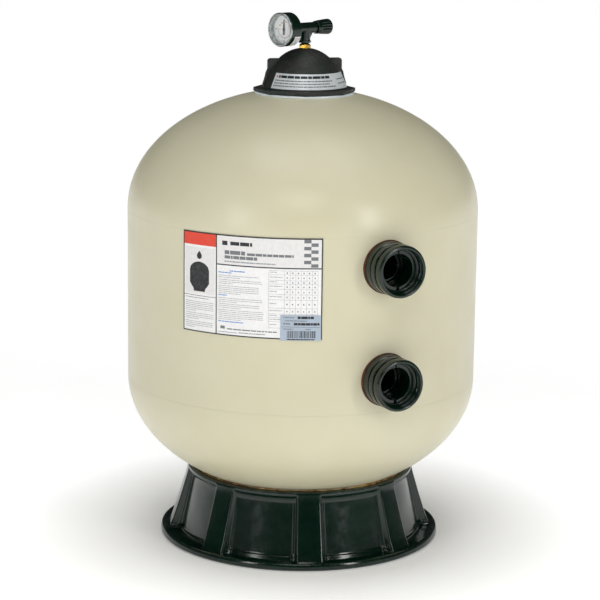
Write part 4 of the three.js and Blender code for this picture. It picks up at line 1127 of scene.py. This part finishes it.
class Sheet:
    """A printed label: areas painted on a flat sheet in mm, then wrapped over a surface as a thin plate."""

    def __init__(self, width, height, ground):
        self.inks = [ground]
        self.size = (width, height)
        self.marks = [(0, 0, width, height, 0)]

    def mark(self, x0, y0, x1, y1, ink):
        if ink not in self.inks:
            self.inks.append(ink)
        self.marks.append((max(x0, 0), max(y0, 0), min(x1, self.size[0]), min(y1, self.size[1]),
                           self.inks.index(ink)))

    def words(self, x0, x1, y, height, ink, seed, pitch=1.5):
        """A row of blocks like words, from x0 to x1. They hold no lettering."""
        pattern = np.random.default_rng(seed)
        x = x0
        while x < x1 - pitch:
            end = min(x1, x + pitch * int(pattern.integers(2, 7)))
            self.mark(x, y, end - pitch * 0.4, y + height, ink)
            x = end

    def paragraph(self, x0, x1, top, rows, ink, seed):
        pattern = np.random.default_rng(seed)
        for row in range(rows):
            end = x1 if row < rows - 1 else x0 + (x1 - x0) * (0.35 + 0.3 * float(pattern.random()))
            self.words(x0, end - 2 * float(pattern.random()), top - LINE_SPACING * (row + 1), LINE_HEIGHT,
                       ink, seed + row)

    def mesh(self, wrap, step=5.0):
        """wrap(x, y, depth) gives a point of the sheet, with depth 0 at the back and 1 at its face."""
        edges = []
        for low, high, length in ((0, 2, self.size[0]), (1, 3, self.size[1])):
            found = sorted({round(m[low], 2) for m in self.marks} | {round(m[high], 2) for m in self.marks})
            filled = [found[0]]
            for edge in found[1:]:
                parts = max(1, math.ceil((edge - filled[-1]) / step))
                start = filled[-1]
                filled += [start + (edge - start) * (k + 1) / parts for k in range(parts)]
            edges.append(np.array(filled))
        xs, ys = edges
        ink = np.zeros((len(ys) - 1, len(xs) - 1), dtype=int)
        for x0, y0, x1, y1, index in self.marks:
            columns = slice(*np.searchsorted(xs, (x0 - 0.006, x1 - 0.006)))
            rows = slice(*np.searchsorted(ys, (y0 - 0.006, y1 - 0.006)))
            ink[rows, columns] = index
        wide, tall = len(xs), len(ys)
        vertices = [wrap(x, y, depth) for depth in (1, 0) for y in ys for x in xs]
        back = wide * tall
        faces, indices = [], []
        for j in range(tall - 1):
            for i in range(wide - 1):
                a = j * wide + i
                faces += [(a, a + 1, a + wide + 1, a + wide),
                          (back + a, back + a + wide, back + a + wide + 1,
                                                               back + a + 1)]
                indices += [ink[j, i], 0]
        rim = [*range(wide), *[wide * (j + 1) + wide - 1 for j in range(tall - 1)],
               *[back - 2 - k for k in range(wide - 1)], *[wide * (tall - 2 - j) for j in range(tall - 2)]]
        for a, b in zip(rim, rim[1:] + rim[:1]):
            faces.append((a, back + a, back + b, b))
            indices.append(0)
        mesh = bpy.data.meshes.new("sheet")
        mesh.from_pydata([tuple(v) for v in vertices], [], faces)
        mesh.polygons.foreach_set("material_index", indices)
        return mesh

    def put(self, name, body, mesh, nodes, slot):
        materials = [INK[i] if i in INK else MATERIAL[i] for i in self.inks]
        put(name, body, mesh, materials, nodes, weighted=False)


def on_tank(left, bottom, clearance, thickness):
    """A wrap for the tank's side, from an azimuth in degrees and a height in mm."""
    def wrap(x, y, depth):
        angle = left + math.degrees(x / R)
        return TANK @ ((heading(angle) * (R + clearance + thickness * depth) + UP * (bottom + y)) * MM)
    return wrap


LABEL_LEFT, LABEL_RIGHT, LABEL_BOTTOM, LABEL_TOP = -66.9, -21.1, 416.3, 583.5
width, height = math.radians(LABEL_RIGHT - LABEL_LEFT) * R, LABEL_TOP - LABEL_BOTTOM
label = Sheet(width, height, "black")
COLUMN, BORDER, HEADER = 66.0, 2.0, 117.6
label.mark(BORDER, BORDER, COLUMN - BORDER / 2, height - BORDER, "white")
label.mark(BORDER, height - 22, COLUMN - BORDER / 2, height - BORDER, "red")
label.mark(BORDER + 2.5, 65, COLUMN - 3.5, height - 26, "pale")
label.mark(BORDER, 60.4, COLUMN - BORDER / 2, 61.2, "black")
label.mark(COLUMN + BORDER / 2, HEADER + BORDER / 2, width - BORDER, height - BORDER, "pale")
label.mark(COLUMN + BORDER / 2, BORDER, width - BORDER, HEADER - BORDER / 2, "white")

# A plain picture: a round-shouldered vessel with a drop above it.
STEP = 0.8
VESSEL = [(68, 11), (73, 12), (77, 15.5), (82, 19), (104, 19), (109, 17.5), (113, 14), (116, 9), (118, 0)]
DROP = [(122, 0), (123, 3.4), (126, 5), (129, 4.4), (132, 2.8), (136, 0)]
for outline in (VESSEL, DROP):
    heights, halves = zip(*outline)
    for y in np.arange(heights[0], heights[-1], STEP):
        half = STEP * round(float(np.interp(y + STEP / 2, heights, halves)) / STEP)
        if half:
            label.mark(33 - half, y, 33 + half, y + STEP, "black")

label.words(5, 52, 56.2, 1.2, "faint", 11)
for top, rows, seed in ((53, 6, 20), (33.5, 4, 30), (19.5, 4, 40)):
    label.paragraph(5, 62, top, rows, "faint", seed)

# Title block: a plain block and bars, and two columns of grey blocks at the right.
label.mark(76.5, 150, 86, 157.2, "black")
label.words(91, 130, 150.6, 6.0, "black", 50, 3.4)
label.words(81, 118, 135.4, 6.4, "grey", 51, 3.2)
label.words(120, 198, 135.4, 4.2, "grey", 52, 2.4)
label.words(81, 139, 128.2, 5.2, "grey", 53, 2.2)
label.words(81, 168, 122.6, 1.9, "faint", 54)
for k in range(8):
    for column in range(2):
        if (k + column) % 2:
            label.mark(213.5 + 11.5 * column, 119.5 + 5.7 * k, 225 + 11.5 * column, 125.2 + 5.7 * k, "grey")

# Instructions: headings in blue over grey paragraphs.
label.words(90, 118, 107.2, 1.7, "blue", 60)
label.words(70, 94, 104.0, 1.5, "blue", 61)
label.paragraph(70, 140, 102.6, 2, "faint", 70)
label.paragraph(70, 146, 95.6, 3, "faint", 80)
label.paragraph(70, 142, 85.6, 5, "faint", 90)
label.words(70, 86, 66.4, 1.5, "blue", 62)
label.paragraph(70, 148, 65.2, 3, "faint", 100)
label.paragraph(70, 144, 55.4, 3, "faint", 110)
label.paragraph(70, 150, 45.4, 6, "faint", 120)
label.words(70, 115, 22.6, 1.5, "blue", 63)
label.mark(74, 11, 82, 16, "grey")
label.words(86, 172, 10.4, 2.0, "grey", 64, 2.6)
label.words(70, 104, 5.2, 1.2, "faint", 65)
label.words(106, 152, 5.8, 1.3, "grey", 66)

# A table of plain cells.
TABLE_LEFT, TABLE_RIGHT, TABLE_TOP, TABLE_BOTTOM = 156.5, 236.5, 113.5, 18.5
columns = [TABLE_LEFT + 26 + 9 * k for k in range(7)]
rows = [TABLE_TOP, 107, 97.5, 91.5, 83, 74.5, 65.5, 51.5, 42, 36, 29, TABLE_BOTTOM]
for x in (TABLE_LEFT, *columns):
    label.mark(x - 0.2, TABLE_BOTTOM, x + 0.2, TABLE_TOP, "faint")
for y in rows:
    label.mark(TABLE_LEFT, y - 0.2, TABLE_RIGHT, y + 0.2, "faint")
for k, (top, low) in enumerate(zip(rows, rows[1:])):
    label.words(TABLE_LEFT + 1.5, TABLE_LEFT + 14 + 9 * (k % 2), (top + low) / 2, 1.0, "faint", 130 + k)
    for x in columns[:-1]:
        label.mark(x + 3.2, (top + low) / 2 - 1.4, x + 5.2, (top + low) / 2 + 1.0,
                   "faint" if k % 3 else "grey")
label.put("instruction_label", "tank", label.mesh(on_tank(LABEL_LEFT, LABEL_BOTTOM, 0.7, 0.5)),
          ["instruction_label"],
          "label_white")

STICKER_LEFT, STICKER_RIGHT, STICKER_BOTTOM, STICKER_TOP = -33.8, -21.4, 414.8, 457.0
width, height = math.radians(STICKER_RIGHT - STICKER_LEFT) * R, STICKER_TOP - STICKER_BOTTOM
sticker = Sheet(width, height, "serial_film")
sticker.words(4.5, 23, 37.4, 1.6, "grey", 200)
sticker.words(28, 55, 36.2, 4.2, "black", 201, 1.9)
sticker.words(8, 44, 32.2, 1.5, "grey", 202)
sticker.words(4.5, 17.5, 27.0, 1.5, "black", 203)
sticker.words(22, 64, 25.6, 4.0, "black", 204, 1.3)
sticker.mark(2, 22.4, width - 2, 22.9, "black")
sticker.words(4.5, 22, 18.4, 1.5, "grey", 205)
sticker.words(41, 50, 18.4, 1.5, "grey", 206)
bars = np.random.default_rng(207)
x = 11.0
while x < 58:
    thick = 0.5 * int(bars.integers(1, 4))
    sticker.mark(x, 4.4, x + thick, 16.4, "black")
    x += thick + 0.5 * int(bars.integers(1, 4))
sticker.words(11, 56, 1.1, 1.9, "black", 208, 1.2)
sticker.put("serial_sticker", "tank", sticker.mesh(on_tank(STICKER_LEFT, STICKER_BOTTOM, 1.6, 0.4)),
            ["serial_sticker"], "label_silver")


def on_cone(x, y, depth):
    """Wraps the closure's label round its cone, between the two lugs."""
    slope = (BAND_LOW[0] - BAND_HIGH[0]) / (BAND_HIGH[1] - BAND_LOW[1])
    radius = BAND_LOW[0] - slope * y + 0.4 + 0.5 * depth
    way = heading(BAND_FROM + math.degrees(x / BAND_LOW[0]))
    return TANK @ ((way * radius + UP * (BAND_LOW[1] + y)) * MM)


width, height = math.radians(BAND_TO - BAND_FROM) * BAND_LOW[0], BAND_TOP - BAND_LOW[1]
band = Sheet(width, height, "silver_film")
band.mark(5, 18.6, 8.4, 22, "red")
band.words(11, 118, 18.2, 4.2, "black", 300, 2.9)
for row, (start, end) in enumerate(((4, 122), (4, 116), (4, 128))):
    band.words(start, end, 12.9 - 4.4 * row, 1.9, "grey", 310 + row, 1.7)
band.words(136, 178, 15, 1.9, "grey", 320, 1.8)
band.words(136, 172, 8, 1.9, "grey", 321, 1.8)
band.put("closure_label", "closure_top", band.mesh(on_cone, 2.5), ["closure_label"], "label_silver")


def on_case(x, y, depth):
    """Wraps a sticker on the gauge's case, low on its side."""
    angle = -x / CASE_RADIUS - math.radians(22)
    reach = CASE_RADIUS + 0.08 + 0.18 * depth
    return VALVE @ (Vector((reach * math.cos(angle), reach * math.sin(angle), 36.8 + y)) * MM)


tag = Sheet(24, 13, "white")
for row in range(5):
    tag.words(1.5, 21, 10.4 - 2.3 * row, 1.0, "grey", 400 + row, 1.0)
tag.put("gauge_case_tag", "closure_top", tag.mesh(on_case, 1.5), [], "label_white")


# ------------------------------------------------------------------ studio

GLOW_NEAR, GLOW_FAR = 0.2, 0.7  # light given off by the white floor, which keeps its far side white
GLOW_START, GLOW_END = 0.25, 0.56  # metres from the tank's axis
BACKGROUND_GLOW, BACKGROUND_START, BACKGROUND_END = 0.26, 1.2, 3.0  # more of it, further back
AIR_STRENGTH = 0.3
FLOOR_REACH = 40
LIGHT_TARGET, LIGHT_DISTANCE = 0.45, 3.0  # height that the lights face, and how far off they stand


def floor():
    surface = Surface("studio_floor", roughness=0.65, Specular_IOR_Level=0.2, Emission_Color=(1, 1, 1, 1))
    away = surface.node("ShaderNodeVectorMath", operation="LENGTH")
    surface.tree.links.new(surface.place, away.inputs[0])
    glow = surface.spread(away.outputs["Value"], GLOW_START, GLOW_END, GLOW_NEAR, GLOW_FAR)
    behind = surface.spread(away.outputs["Value"], BACKGROUND_START, BACKGROUND_END, 0, BACKGROUND_GLOW)
    both = surface.node("ShaderNodeMath", operation="ADD")
    surface.tree.links.new(glow, both.inputs[0])
    surface.tree.links.new(behind, both.inputs[1])
    surface.tree.links.new(both.outputs["Value"], surface.shader.inputs["Emission Strength"])
    surface.colour(surface.mixed(surface.spread(surface.noise(700, 2), 0.3, 0.7), "#f7f7f7", "#fafafa"))
    surface.bump(surface.noise(3, 3), 0.02)
    mesh = bpy.data.meshes.new("studio_floor")
    corners = [(x * FLOOR_REACH, y * FLOOR_REACH, 0) for x, y in ((-1, -1), (1, -1), (1, 1), (-1, 1))]
    mesh.from_pydata(corners, [], [(0, 1, 2, 3)])
    obj = bpy.data.objects.new("studio_floor", mesh)
    mesh.materials.append(surface.material)
    bpy.context.scene.collection.objects.link(obj)


def softbox(name, azimuth, elevation, width, height, brightness):
    """An area light at a direction from the tank, with its brightness as seen by the camera."""
    light = bpy.data.lights.new(name, "AREA")
    light.shape, light.size, light.size_y = "RECTANGLE", width, height
    light.energy = brightness * math.pi * width * height
    obj = bpy.data.objects.new(name, light)
    away = heading(azimuth) * math.cos(math.radians(elevation)) + UP * math.sin(math.radians(elevation))
    obj.location = Vector((0, AXIS_Y, LIGHT_TARGET)) + away * LIGHT_DISTANCE
    obj.rotation_euler = away.to_track_quat("Z", "Y").to_euler()
    bpy.context.scene.collection.objects.link(obj)


def studio_air():
    """Pale grey surroundings at the horizon and below, and darker ones above, for gloss to show."""
    world = bpy.data.worlds.new("studio")
    world.use_nodes = True
    tree = world.node_tree
    place = tree.nodes.new("ShaderNodeTexCoord")
    parts = tree.nodes.new("ShaderNodeSeparateXYZ")
    ramp = tree.nodes.new("ShaderNodeValToRGB")
    ramp.color_ramp.elements[0].position, ramp.color_ramp.elements[0].color = 0.04, (0.7, 0.71, 0.71, 1)
    ramp.color_ramp.elements[1].position, ramp.color_ramp.elements[1].color = 0.18, (0.11, 0.115, 0.115, 1)
    tree.links.new(place.outputs["Generated"], parts.inputs["Vector"])
    tree.links.new(parts.outputs["Z"], ramp.inputs["Fac"])
    tree.links.new(ramp.outputs["Color"], tree.nodes["Background"].inputs["Color"])
    tree.nodes["Background"].inputs["Strength"].default_value = AIR_STRENGTH
    bpy.context.scene.world = world


floor()
studio_air()
SOFTBOX_ELEVATION, SOFTBOX_WIDTH, SOFTBOX_HEIGHT = 14, 0.4, 1.15
softbox("right_softbox", 15, SOFTBOX_ELEVATION, SOFTBOX_WIDTH, SOFTBOX_HEIGHT, 11)
softbox("left_softbox", -67, SOFTBOX_ELEVATION, SOFTBOX_WIDTH, SOFTBOX_HEIGHT, 7)
softbox("overhead_softbox", -27, 82, 2.4, 2.4, 2.0)
softbox("front_softbox", -30, 38, 1.2, 1.0, 3.6)
bpy.context.scene.view_settings.view_transform = "Standard"

CAMERA_AZIMUTH, CAMERA_PITCH, CAMERA_ROLL = -27.4, 11.95, 0.73  # degrees
CAMERA_DISTANCE, CAMERA_HEIGHT = 3.786, 1.219
camera_data = bpy.data.cameras.new("camera")
camera_data.lens, camera_data.sensor_width, camera_data.shift_x = 131.9, 36, -0.0027
camera = bpy.data.objects.new("camera", camera_data)
camera.matrix_world = (
    Matrix.Translation(Vector((0, AXIS_Y, CAMERA_HEIGHT)) + heading(CAMERA_AZIMUTH) * CAMERA_DISTANCE)
    @ Matrix.Rotation(math.radians(CAMERA_AZIMUTH), 4, "Z")
    @ Matrix.Rotation(math.radians(90 - CAMERA_PITCH), 4, "X")
    @ Matrix.Rotation(math.radians(CAMERA_ROLL), 4, "Z")
)
bpy.context.scene.collection.objects.link(camera)
bpy.context.scene.camera = camera
